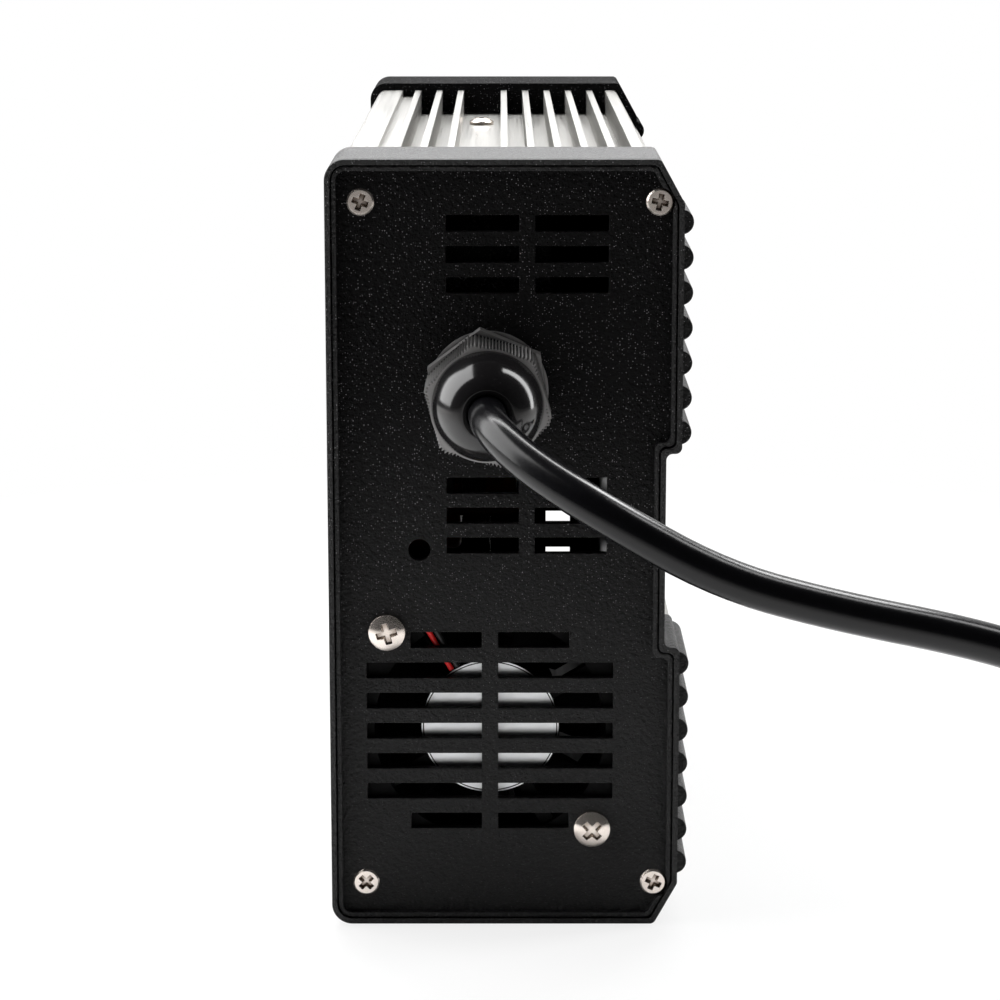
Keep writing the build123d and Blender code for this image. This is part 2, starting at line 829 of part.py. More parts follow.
with BuildPart() as gland_body:
    with BuildSketch(gland_at(body_start)):
        RegularPolygon(gland_across_flats / 2, 6, major_radius=False, rotation=gland_body_turn)
    extrude(amount=gland_body_thickness)
    with BuildSketch(gland_at(-face_thickness - gland_locknut_thickness - 2)):
        Circle(gland_thread_radius)
    extrude(until=Until.NEXT)
    with BuildSketch(gland_at(nut_start)):
        Circle(gland_thread_radius)
    extrude(amount=thread_end - nut_start)
    with BuildSketch(gland_at(thread_end)):
        Circle(bore_radius)
    extrude(amount=-3 * gland_nut_length, mode=Mode.SUBTRACT)
    with BuildSketch(gland_at(thread_end)):
        Circle(seal_radius + gland_clearance)
    extrude(amount=-gland_nut_length / 2, mode=Mode.SUBTRACT)
save(gland_body, "gland_body")

with BuildPart() as gland_locknut:
    with BuildSketch(gland_at(-face_thickness)):
        RegularPolygon(gland_locknut_flats / 2, 6, major_radius=False, rotation=gland_hex_turn)
        Circle(gland_thread_radius + gland_clearance, mode=Mode.SUBTRACT)
    extrude(amount=-gland_locknut_thickness)
save(gland_locknut, "gland_locknut")

with BuildPart() as gland_seal:
    with BuildSketch(gland_at(thread_end - gland_nut_length / 2)):
        Circle(seal_radius)
        Circle(cord_diameter / 2, mode=Mode.SUBTRACT)
    extrude(amount=gland_nut_length / 2 + 1)
save(gland_seal, "gland_seal")

# The nut: hexagon with broken corners, domed end, drawn as one turned form and cut to the hexagon
with BuildPart() as gland_nut:
    with BuildSketch(gland_at(nut_start)):
        RegularPolygon(gland_across_flats / 2, 6, major_radius=False, rotation=gland_hex_turn)
    extrude(amount=gland_nut_length)
    with BuildSketch(Plane(origin=(gland_x, panel_y, gland_z), x_dir=(1, 0, 0), z_dir=(0, 0, 1))):
        with BuildLine():
            dome = Bezier(
                (gland_dome_radius, -dome_start),
                (0.93 * gland_dome_radius, -dome_start - 0.62 * gland_dome_length),
                (gland_mouth_radius + 2.4, -mouth),
                (gland_mouth_radius, -mouth),
            )
            Polyline(dome @ 1, (0, -mouth), (0, -dome_start), dome @ 0)
        make_face()
    revolve(axis=Axis((gland_x, panel_y, gland_z), (0, 1, 0)))
    with BuildSketch(gland_at(nut_start)):
        Circle(gland_thread_radius + gland_clearance)
    extrude(amount=gland_nut_length, mode=Mode.SUBTRACT)
    with BuildSketch(gland_at(nut_start)):
        Circle(gland_mouth_radius - 0.9)
    extrude(amount=2 * gland_nut_length, mode=Mode.SUBTRACT)
save(gland_nut, "gland_nut")

# The lead inside the gland and the free stretch, whose points were chosen by hand
sheath_end_y = panel_y + cord_inside
exit_y = panel_y - mouth - 0.4
with BuildPart() as cord_in_gland:
    with BuildSketch(facing(sheath_end_y)):
        with Locations((gland_x, gland_z)):
            Circle(cord_diameter / 2)
    extrude(amount=sheath_end_y - exit_y)
save(cord_in_gland, "cord_in_gland")

turn_radii = [coil_inner_turn_radius + i * cord_diameter for i in range(coil_columns)]
coil_y = front_y + coil_behind_front
coil_bottom = tie_thickness + tie_gap
first_layer_z = coil_bottom + cord_diameter / 2
top_layer_z = first_layer_z + (coil_layers - 1) * cord_diameter
coil_top = top_layer_z + cord_diameter / 2
entry_y = coil_y - turn_radii[-1]
cord_route = [
    (gland_x, exit_y, gland_z),
    (gland_x, exit_y - cord_straight, gland_z),
    (3.5, front_y - 50.5, 127.8),
    (20.8, front_y - 63.0, 119.2),
    (44.9, front_y - 67.0, 106.3),
    (69.3, front_y - 68.0, 99.7),
    (98.0, front_y - 68.0, 93.9),
    (117.0, front_y - 67.0, 87.8),
    (134.3, front_y - 63.0, 74.3),
    (145.5, front_y - 60.0, 53.5),
    (156.0, front_y - 56.0, 33.5),
    (172.5, front_y - 52.0, 15.2),
    (coil_x - 21.0, entry_y, first_layer_z),
    (coil_x, entry_y, first_layer_z),
]
print("lead's bend radii:", [round(r, 1) for r in arc_radii(cord_route)])
free_run = tube(cord_route, cord_diameter / 2)
with BuildPart() as mains_cord:
    add(free_run)
save(mains_cord, "mains_cord")

# Coil of the put-away length, and the straight tail that leaves it for the plug
coil_inside = turn_radii[0] - cord_diameter / 2
coil_outside = turn_radii[-1] + cord_diameter / 2
with BuildPart() as cord_coil:
    with BuildSketch(Plane((coil_x, coil_y, coil_bottom))):
        Circle(coil_outside)
        Circle(coil_inside, mode=Mode.SUBTRACT)
    extrude(amount=coil_top - coil_bottom)
save(cord_coil, "cord_coil")

tail_x = coil_x + turn_radii[1]
with BuildPart() as cord_tail:
    with BuildSketch(facing(coil_y + tail_length)):
        with Locations((tail_x, top_layer_z)):
            Circle(cord_diameter / 2)
    extrude(amount=tail_length)
save(cord_tail, "cord_tail")

# Tie round the coil's turns
coil_axis = Axis((coil_x, coil_y, 0), (0, 0, 1))
tie_angle = degrees(tie_width / turn_radii[1])
tie_across = (cos(radians(tie_turn)), sin(radians(tie_turn)), 0)
tie_normal = (sin(radians(tie_turn)), -cos(radians(tie_turn)), 0)
with BuildPart() as cord_tie:
    with BuildSketch(Plane(origin=(coil_x, coil_y, 0), x_dir=tie_across, z_dir=tie_normal)):
        with Locations((turn_radii[1], (coil_bottom + coil_top) / 2)):
            Rectangle(
                coil_outside - coil_inside + 2 * (tie_gap + tie_thickness),
                coil_top - coil_bottom + 2 * (tie_gap + tie_thickness),
            )
            Rectangle(
                coil_outside - coil_inside + 2 * tie_gap,
                coil_top - coil_bottom + 2 * tie_gap,
                mode=Mode.SUBTRACT,
            )
    revolve(axis=coil_axis, revolution_arc=tie_angle)
save(cord_tie, "cord_tie")


def plug_at(along):
    """The plane across the plug at a distance from the tail's end, facing its pins."""
    return pointing(tail_x, coil_y + tail_length + along, top_layer_z, -1)


# Plug: one moulding with its strain relief, two flat pins and a round earth pin
plug_height = 2 * top_layer_z
shoulder = 0.3 * plug_length
with BuildPart() as plug_body:
    with BuildSketch(plug_at(0)):
        Circle(relief_end_radius)
    with BuildSketch(plug_at(relief_length)):
        Circle(1.5 * relief_end_radius)
    loft()
    with BuildSketch(plug_at(relief_length)):
        RectangleRounded(0.66 * plug_width, 0.66 * plug_height, 0.25 * plug_width)
    with BuildSketch(plug_at(relief_length + shoulder)):
        RectangleRounded(plug_width, plug_height, 0.25 * plug_width)
    loft()
    with BuildSketch(plug_at(relief_length + shoulder)):
        RectangleRounded(plug_width, plug_height, 0.25 * plug_width)
    extrude(amount=plug_length - shoulder)
save(plug_body, "plug_body")

plug_face = relief_length + plug_length
with BuildPart() as plug_blades:
    with BuildSketch(plug_at(plug_face)):
        with Locations((-blade_spacing / 2, blade_lift), (blade_spacing / 2, blade_lift)):
            Rectangle(blade_thickness, blade_width)
    extrude(amount=blade_length)
    chamfer(plug_blades.edges().group_by(Axis.Y)[-1], 0.5)
save(plug_blades, "plug_blades")

with BuildPart() as plug_earth_pin:
    with BuildSketch(plug_at(plug_face)):
        with Locations((0, -earth_pin_drop)):
            Circle(earth_pin_radius)
    extrude(amount=earth_pin_length)
    chamfer(plug_earth_pin.edges().group_by(Axis.Y)[-1], 1.0)
save(plug_earth_pin, "plug_earth_pin")

# Circuit board in the case's grooves, with the insulating sheet behind it
board_length = board_rear_y - board_front_y
with BuildPart() as circuit_board:
    with BuildSketch(on_board(-board_thickness)):
        with Locations((board_length / 2, middle_z)):
            Rectangle(board_length, 2 * board_half)
    extrude(amount=board_thickness)
save(circuit_board, "circuit_board")

with BuildPart() as insulation_sheet:
    with BuildSketch(on_board(cavity_left - board_face_x)):
        with Locations((board_length / 2, middle_z)):
            Rectangle(board_length, 2 * (cavity_half - cavity_radius - board_rail_height))
    extrude(amount=sheet_thickness)
save(insulation_sheet, "insulation_sheet")

# Transformer: ferrite core round a winding that rests on the board
core_lift = (winding_depth - core_thickness) / 2
window_pitch = core_leg + core_window
with BuildPart() as transformer_core:
    with BuildSketch(on_board(core_lift)):
        with Locations((core_y, core_z)):
            Rectangle(core_size, core_size)
            with GridLocations(window_pitch, 0, 2, 1):
                Rectangle(core_window, core_window_height, mode=Mode.SUBTRACT)
    extrude(amount=core_thickness)
save(transformer_core, "transformer_core")

winding_width = core_leg + 2 * core_window - 2 * winding_clearance
winding_height = core_window_height - 2 * winding_clearance
with BuildPart() as transformer_winding:
    with BuildSketch(Plane.XY.offset(core_z - winding_height / 2)):
        with Locations((board_face_x + winding_depth / 2, board_front_y + core_y)):
            RectangleRounded(winding_depth, winding_width, 6)
            Rectangle(core_thickness + 2 * winding_clearance, core_leg + 2 * winding_clearance, mode=Mode.SUBTRACT)
    extrude(amount=winding_height)
save(transformer_winding, "transformer_winding")


def ring_core(y, z, radius, hole_radius, depth, wire):
    """A ring core lying on the board, thinner all round by the wire that is wound on it."""
    with BuildPart() as ring:
        with BuildSketch(on_board(wire)):
            with Locations((y, z)):
                Circle(radius - wire)
                Circle(hole_radius + wire, mode=Mode.SUBTRACT)
        extrude(amount=depth - 2 * wire)
    return ring.part


def ring_winding(y, z, radius, hole_radius, depth, wire, gap_angle):
    """The wire on a ring core as one shell in two halves, apart by the gap angle at each side."""
    with BuildPart() as shell:
        with BuildSketch(on_board()):
            with Locations((y, z)):
                Circle(radius)
                Circle(hole_radius, mode=Mode.SUBTRACT)
        extrude(amount=depth)
        fillet(shell.edges(), 0.9 * wire)
        with BuildSketch(on_board()):
            with Locations((y, z)):
                for turn in (0, 180):
                    with PolarLocations(radius / 2, 1, start_angle=turn):
                        Rectangle(1.2 * radius, 2 * radius * sin(radians(gap_angle / 2)))
        extrude(amount=depth, mode=Mode.SUBTRACT)
        add(ring_core(y, z, radius, hole_radius, depth, wire), mode=Mode.SUBTRACT)
    return shell.part


inductor_sizes = (inductor_y, inductor_z, inductor_radius, inductor_hole_radius, inductor_depth, inductor_wire)
bare_inductor = ring_core(*inductor_sizes)
wound_inductor = ring_winding(*inductor_sizes, 24)
with BuildPart() as inductor_core:
    add(bare_inductor)
save(inductor_core, "inductor_core")

with BuildPart() as inductor_winding:
    add(wound_inductor)
save(inductor_winding, "inductor_winding")

choke_sizes = (choke_y, choke_z, choke_radius, choke_hole_radius, choke_depth, choke_wire)
bare_choke = ring_core(*choke_sizes)
wound_choke = ring_winding(*choke_sizes, 40)
with BuildPart() as choke_core:
    add(bare_choke)
save(choke_core, "choke_core")

with BuildPart() as choke_windings:
    add(wound_choke)
save(choke_windings, "choke_windings")


def capacitors(y, z, pitch, count, radius, height):
    """A row of round capacitors standing on the board, their ends rounded over."""
    with BuildPart() as row:
        with BuildSketch(on_board()):
            with Locations((y, z)):
                with GridLocations(0, pitch, 1, count):
                    Circle(radius)
        extrude(amount=height)
        fillet(row.edges().group_by(Axis.X)[-1], 0.1 * radius)
    return row.part


bulk_row = capacitors(bulk_y, bulk_z, bulk_pitch, 2, bulk_radius, bulk_height)
with BuildPart() as bulk_capacitors:
    add(bulk_row)
save(bulk_capacitors, "bulk_capacitors")

output_row = capacitors(output_cap_y, output_cap_z, output_cap_pitch, 3, output_cap_radius, output_cap_height)
with BuildPart() as output_capacitors:
    add(output_row)
save(output_capacitors, "output_capacitors")


def block(y, z, size):
    """A boxed component standing on the board."""
    with BuildPart() as body:
        with Locations((board_face_x + size[0] / 2, board_front_y + y, z)):
            Box(*size)
        fillet(body.edges().group_by(Axis.X)[-1], 0.6)
    return body.part


film_box = block(box_cap_y, box_cap_z, box_cap_size)
with BuildPart() as x_capacitor:
    add(film_box)
save(x_capacitor, "x_capacitor")

rectifier_box = block(rectifier_y, rectifier_z, rectifier_size)
with BuildPart() as bridge_rectifier:
    add(rectifier_box)
save(bridge_rectifier, "bridge_rectifier")

header_box = block(fan_header_from_edge, fan_header_z, fan_header_size)
with BuildPart() as fan_header:
    add(header_box)
save(fan_header, "fan_header")

control_sheet = (control_board_size[0], board_thickness, control_board_size[1])
with BuildPart() as control_board:
    with Locations((board_face_x + control_sheet[0] / 2, board_front_y + control_board_y, control_board_z)):
        Box(*control_sheet)
save(control_board, "control_board")

# Power transistors held against the case's top wall by a bar and the screw in the top channel
ceiling = middle_z + cavity_half
transistor_top = ceiling - pad_thickness
bar_top = transistor_top - transistor_size[2]
row_length = (transistor_count - 1) * transistor_pitch + transistor_size[0]
with BuildPart() as thermal_pad:
    with Locations((screw_x, clamp_y, ceiling - pad_thickness / 2)):
        Box(transistor_size[1], row_length + 2, pad_thickness)
    with Locations((screw_x, clamp_y, ceiling)):
        Hole(clamp_screw_radius + screw_slack, depth=2 * pad_thickness)
save(thermal_pad, "thermal_pad")

lead_z = bar_top + 0.8
lead_run = screw_x - transistor_size[1] / 2 - board_face_x
with BuildPart() as power_transistors:
    with Locations((screw_x, clamp_y, transistor_top - transistor_size[2] / 2)):
        with GridLocations(0, transistor_pitch, 1, transistor_count):
            Box(transistor_size[1], transistor_size[0], transistor_size[2])
    with Locations((board_face_x + lead_run / 2, clamp_y, lead_z)):
        with GridLocations(0, transistor_pitch, 1, transistor_count):
            with GridLocations(0, 0.3 * transistor_size[0], 1, 3):
                Box(lead_run, transistor_lead_width, transistor_lead_width / 2)
save(power_transistors, "power_transistors")

with BuildPart() as clamp_bar:
    with Locations((screw_x, clamp_y, bar_top - bar_thickness / 2)):
        Box(bar_width, row_length + 2, bar_thickness)
    with Locations((screw_x, clamp_y, bar_top)):
        Hole(clamp_screw_radius, depth=bar_thickness)
save(clamp_bar, "clamp_bar")

channel_floor = middle_z + case_floor_half
clamp_length = channel_floor - bar_top + bar_thickness
clamp_blank = pan_screw(clamp_screw_radius, clamp_head_radius, clamp_head_height, clamp_length)
with BuildPart() as clamp_screw:
    with Locations((screw_x, clamp_y, channel_floor)):
        add(clamp_blank)
save(clamp_screw, "clamp_screw")

# Mains connector that hangs on its wires, and the earth tag on the case's finned wall
connector_top = connector_z + connector_size[2] / 2
connector_bottom = connector_z - connector_size[2] / 2
with BuildPart() as wire_connector:
    with Locations((connector_x, connector_y, connector_z)):
        Box(*connector_size)
    fillet(wire_connector.edges().filter_by(Axis.Z), 0.8)
save(wire_connector, "wire_connector")

tag_x = cavity_right - earth_tag_thickness
with BuildPart() as earth_tag:
    with BuildSketch(Plane.YZ.offset(tag_x)):
        with Locations((earth_y, earth_z)):
            Circle(earth_tag_radius)
        with Locations((earth_y, earth_z + earth_tag_reach / 2)):
            Rectangle(earth_tag_radius, earth_tag_reach)
        with Locations((earth_y, earth_z)):
            Circle(earth_screw_radius, mode=Mode.SUBTRACT)
    extrude(amount=earth_tag_thickness)
save(earth_tag, "earth_tag")

earth_blank = pan_screw(
    earth_screw_radius, earth_screw_head_radius, earth_screw_head_height, earth_tag_thickness + earth_screw_length
)
with BuildPart() as earth_screw:
    with Locations(Plane(origin=(tag_x, earth_y, earth_z), x_dir=(0, 1, 0), z_dir=(-1, 0, 0))):
        add(earth_blank)
save(earth_screw, "earth_screw")

# Wires: from the sheath to the connector and the earth tag, and from the connector to the board
wire_start = sheath_end_y
wire_rise = 0.6
wire_bend = 6.0


def mains_wire(side):
    """One of the two mains wires, back from the sheath's end, then down to the connector's top."""
    x = gland_x + side * wire_spread
    y = connector_y - side * wire_spread
    z = gland_z + wire_rise
    return [
        (x, wire_start, z),
        (x, y - wire_bend, z),
        (connector_x, y, z - wire_bend),
        (connector_x, y, connector_top),
    ]


live_run = tube(mains_wire(-1), lead_radius)
with BuildPart() as live_wire:
    add(live_run)
save(live_wire, "live_wire")

neutral_run = tube(mains_wire(1), lead_radius)
with BuildPart() as neutral_wire:
    add(neutral_run)
save(neutral_wire, "neutral_wire")

earth_run = tube(
    [
        (gland_x, wire_start, gland_z - 2.2),
        (gland_x, wire_start + 4, gland_z - 2.2),
        (gland_x + 8, wire_start + 5, gland_z - 9),
        (tag_x - 6, wire_start + 2, earth_z + 28),
        (tag_x - lead_radius, earth_y, earth_z + 20),
        (tag_x - lead_radius, earth_y, earth_z + earth_tag_radius),
    ],
    lead_radius,
)
with BuildPart() as earth_wire:
    add(earth_run)
save(earth_wire, "earth_wire")


def board_lead(side):
    """One lead from the connector's foot down and across to the board."""
    y = connector_y - side * wire_spread
    z = connector_bottom - connector_lead_drop
    return [(connector_x, y, connector_bottom), (connector_x, y, z), (board_face_x, y, z)]


first_lead = tube(board_lead(-1), lead_radius)
second_lead = tube(board_lead(1), lead_radius)
with BuildPart() as board_leads:
    add(first_lead)
    add(second_lead)
save(board_leads, "board_leads")

# Fan leads: over a strut, out through the frame's notch and into the plug on the board's header
header_top = board_face_x + fan_header_size[0]
with BuildPart() as fan_plug:
    with Locations((header_top + fan_plug_size[0] / 2, fan_header_y, fan_header_z)):
        Box(*fan_plug_size)
save(fan_plug, "fan_plug")

plug_top = header_top + fan_plug_size[0]
strut_along = (cos(radians(lead_turn)), sin(radians(lead_turn)))
strut_across = (-strut_along[1], strut_along[0])
lead_y = fan_front_y + fan_hub_setback - fan_lead_radius - 0.05


def on_strut(radius, offset):
    """A point over the strut that carries the fan's leads."""
    x = fan_x + radius * strut_along[0] + offset * strut_across[0]
    z = fan_z + radius * strut_along[1] + offset * strut_across[1]
    return (x, lead_y, z)


def fan_lead(side):
    """One of the fan's leads, on one side of the strut's middle line."""
    behind = fan_back_y + 4
    above = fan_z + fan_size / 2 + 3
    over_edge = on_strut(fan_size / 2 + 8, side * fan_lead_spread / 2)
    contact_y = fan_header_y + side * fan_contact_pitch / 2
    return [
        on_strut(fan_hub_radius + 0.4, side * fan_lead_spread / 2),
        over_edge,
        (over_edge[0], fan_front_y + 9, above),
        (-21 - side * fan_contact_pitch / 2, behind, above),
        (plug_top + 5, contact_y, fan_header_z),
        (plug_top, contact_y, fan_header_z),
    ]


red_run = tube(fan_lead(1), fan_lead_radius)
with BuildPart() as fan_lead_red:
    add(red_run)
save(fan_lead_red, "fan_lead_red")

black_run = tube(fan_lead(-1), fan_lead_radius)
with BuildPart() as fan_lead_black:
    add(black_run)
save(fan_lead_black, "fan_lead_black")

# Output socket in the rear cap, with its contacts, screws and leads, and the two indicator lights
plate_thickness = face_recess - cap_fit


def socket_at(proud):
    """The plane across the socket at a distance out from the rear panel, facing out."""
    return pointing(0, rear_panel_y + proud, socket_z, -1)


with BuildPart() as socket_shell:
    with BuildSketch(socket_at(0)):
        RectangleRounded(socket_plate_width, socket_plate_height, 2)
    extrude(amount=plate_thickness)
    with BuildSketch(socket_at(-socket_barrel_length)):
        Circle(socket_barrel_radius)
    extrude(amount=socket_barrel_length)
    with BuildSketch(socket_at(plate_thickness)):
        Circle(socket_insert_radius)
    extrude(amount=-2 * socket_barrel_length, mode=Mode.SUBTRACT)
    with Locations(*[pointing(x, rear_panel_y + plate_thickness, z, -1) for x, z in socket_screw_places]):
        CounterSinkHole(socket_screw_radius, socket_screw_head_radius, counter_sink_angle=90)
save(socket_shell, "socket_shell")

with BuildPart() as socket_insert:
    with BuildSketch(socket_at(-socket_insert_depth)):
        Circle(socket_insert_radius)
        with PolarLocations(socket_contact_circle, 3, start_angle=90):
            Circle(socket_contact_radius, mode=Mode.SUBTRACT)
    extrude(amount=-socket_insert_length)
save(socket_insert, "socket_insert")

with BuildPart() as socket_contacts:
    with BuildSketch(socket_at(-socket_insert_depth)):
        with PolarLocations(socket_contact_circle, 3, start_angle=90):
            Circle(socket_contact_radius)
    extrude(amount=-socket_contact_length)
    with BuildSketch(socket_at(-socket_insert_depth)):
        with PolarLocations(socket_contact_circle, 3, start_angle=90):
            Circle(socket_contact_bore)
    extrude(amount=-socket_insert_length, mode=Mode.SUBTRACT)
save(socket_contacts, "socket_contacts")

socket_head_depth = socket_screw_head_radius - socket_screw_radius
socket_screw = flat_screw(socket_screw_radius, socket_screw_head_radius, socket_head_depth, socket_screw_length)
with BuildPart() as socket_screws:
    with Locations(*[pointing(x, rear_panel_y + plate_thickness, z, -1) for x, z in socket_screw_places]):
        add(socket_screw)
save(socket_screws, "socket_screws")

contact_end_y = rear_panel_y - socket_insert_depth - socket_contact_length
contact_side = socket_contact_circle * cos(radians(30))
contact_drop = socket_contact_circle * sin(radians(30))
lead_landing_y = contact_end_y - 12


def output_lead(side):
    """One of the two output leads, from its contact to the board: side 1 arches over, side -1 goes under."""
    x = side * contact_side
    z = socket_z - contact_drop
    over = socket_z + (11.0 if side > 0 else -3.0)
    down = socket_z + (5.5 if side > 0 else -7.0)
    return [
        (x, contact_end_y, z),
        (x, contact_end_y - 6, z),
        (x - 2.5, lead_landing_y, over),
        (-20, lead_landing_y, down),
        (board_face_x, lead_landing_y, down),
    ]


positive_run = tube(output_lead(1), lead_radius)
negative_run = tube(output_lead(-1), lead_radius)
with BuildPart() as output_leads:
    add(positive_run)
    add(negative_run)
save(output_leads, "output_leads")

with BuildPart() as indicator_lights:
    for side in (-1, 1):
        with BuildSketch(pointing(side * lamp_spacing / 2, inner_rear_y - 1, lamp_z, -1)):
            Circle(lamp_radius + 0.5)
        extrude(amount=1.0)
        with BuildSketch(pointing(side * lamp_spacing / 2, inner_rear_y - 5, lamp_z, -1)):
            Circle(lamp_radius)
        extrude(amount=5 + face_thickness + lamp_proud)
    fillet(indicator_lights.edges().group_by(Axis.Y)[-1], 0.4 * lamp_radius)
save(indicator_lights, "indicator_lights")
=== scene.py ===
"""Looks of a lithium battery charger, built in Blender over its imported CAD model. Lengths are in metres."""

import json
from math import cos, pi, radians, sin

import bmesh
import bpy
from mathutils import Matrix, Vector


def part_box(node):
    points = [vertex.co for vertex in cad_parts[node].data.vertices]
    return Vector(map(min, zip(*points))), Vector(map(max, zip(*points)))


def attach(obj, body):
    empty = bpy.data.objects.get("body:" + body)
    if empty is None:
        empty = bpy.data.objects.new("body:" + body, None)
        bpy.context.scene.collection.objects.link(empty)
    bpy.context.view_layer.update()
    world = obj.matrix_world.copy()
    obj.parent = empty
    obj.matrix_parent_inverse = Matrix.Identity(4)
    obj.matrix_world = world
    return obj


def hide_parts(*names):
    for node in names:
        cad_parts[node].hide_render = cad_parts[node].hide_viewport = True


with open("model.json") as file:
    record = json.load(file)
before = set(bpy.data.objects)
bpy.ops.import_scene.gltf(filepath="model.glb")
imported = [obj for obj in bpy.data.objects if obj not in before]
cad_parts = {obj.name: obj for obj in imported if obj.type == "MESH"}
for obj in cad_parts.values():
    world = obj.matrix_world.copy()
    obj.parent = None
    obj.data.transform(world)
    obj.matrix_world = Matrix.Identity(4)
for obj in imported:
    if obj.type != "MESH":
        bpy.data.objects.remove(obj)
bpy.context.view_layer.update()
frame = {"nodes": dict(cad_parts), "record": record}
nodes = frame["nodes"]

# Places read from the frame
front_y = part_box("front_end_cap")[0].y
nut_low, nut_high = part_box("gland_nut")
gland_x = (nut_low.x + nut_high.x) / 2
gland_z = (nut_low.z + nut_high.z) / 2
exit_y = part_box("cord_in_gland")[0].y

# The front cap's face lies this far behind its rim
FACE_RECESS = 0.0018

# The extrusion's cavity, where shade is painted near black: its middle, half its width and height, and where
# its skin turns bright outside it
CAVITY_MIDDLE = (-0.00415, 0, 0.0946)
CAVITY_HALF_WIDTH = 0.03495
CAVITY_HALF_HEIGHT = 0.0827
CAVITY_SKIN = (0.0005, 0.0007)

# The fan label's printed line: how far inside the edge, and half its width
LABEL_LINE_INSET = 0.00045
LABEL_LINE_HALF = 0.00015

# Camera, from the photograph's perspective
EYE = (-0.0019, front_y - 0.605, 0.2558)
TILT_DOWN = radians(9.82)
SENSOR_WIDTH = 36
IMAGE_WIDTH_PIXELS = 1000
FOCAL_PIXELS = 2594
FOCAL = FOCAL_PIXELS / IMAGE_WIDTH_PIXELS * SENSOR_WIDTH
SHIFT = (-0.0015, -0.18)

# The surround's light before and behind the object, as it lights and as it is mirrored, and over which
# part of the way from front (-1) to back (1) it rises
WORLD_BEFORE = 0.02
WORLD_BEHIND = 0.42
WORLD_MIRRORED = 0.95
WORLD_RISE = (-0.35, 0.75)
WORLD_MIRRORED_RISE = (0.35, 0.98)

# The floor: where its colour falls off into painted shade, and where the camera sees it as plain white
FLOOR_SIDE = 3.0
FLOOR_DROP = 0.0002
FLOOR_NEAR = (0.86, 0.86, 0.86)
FLOOR_FAR = (0.60, 0.59, 0.58)
FLOOR_FALL = (0.28, 0.60)
FLOOR_WHITE_NEAR = 0.80
FLOOR_WHITE_RISE = (0.15, 0.38)


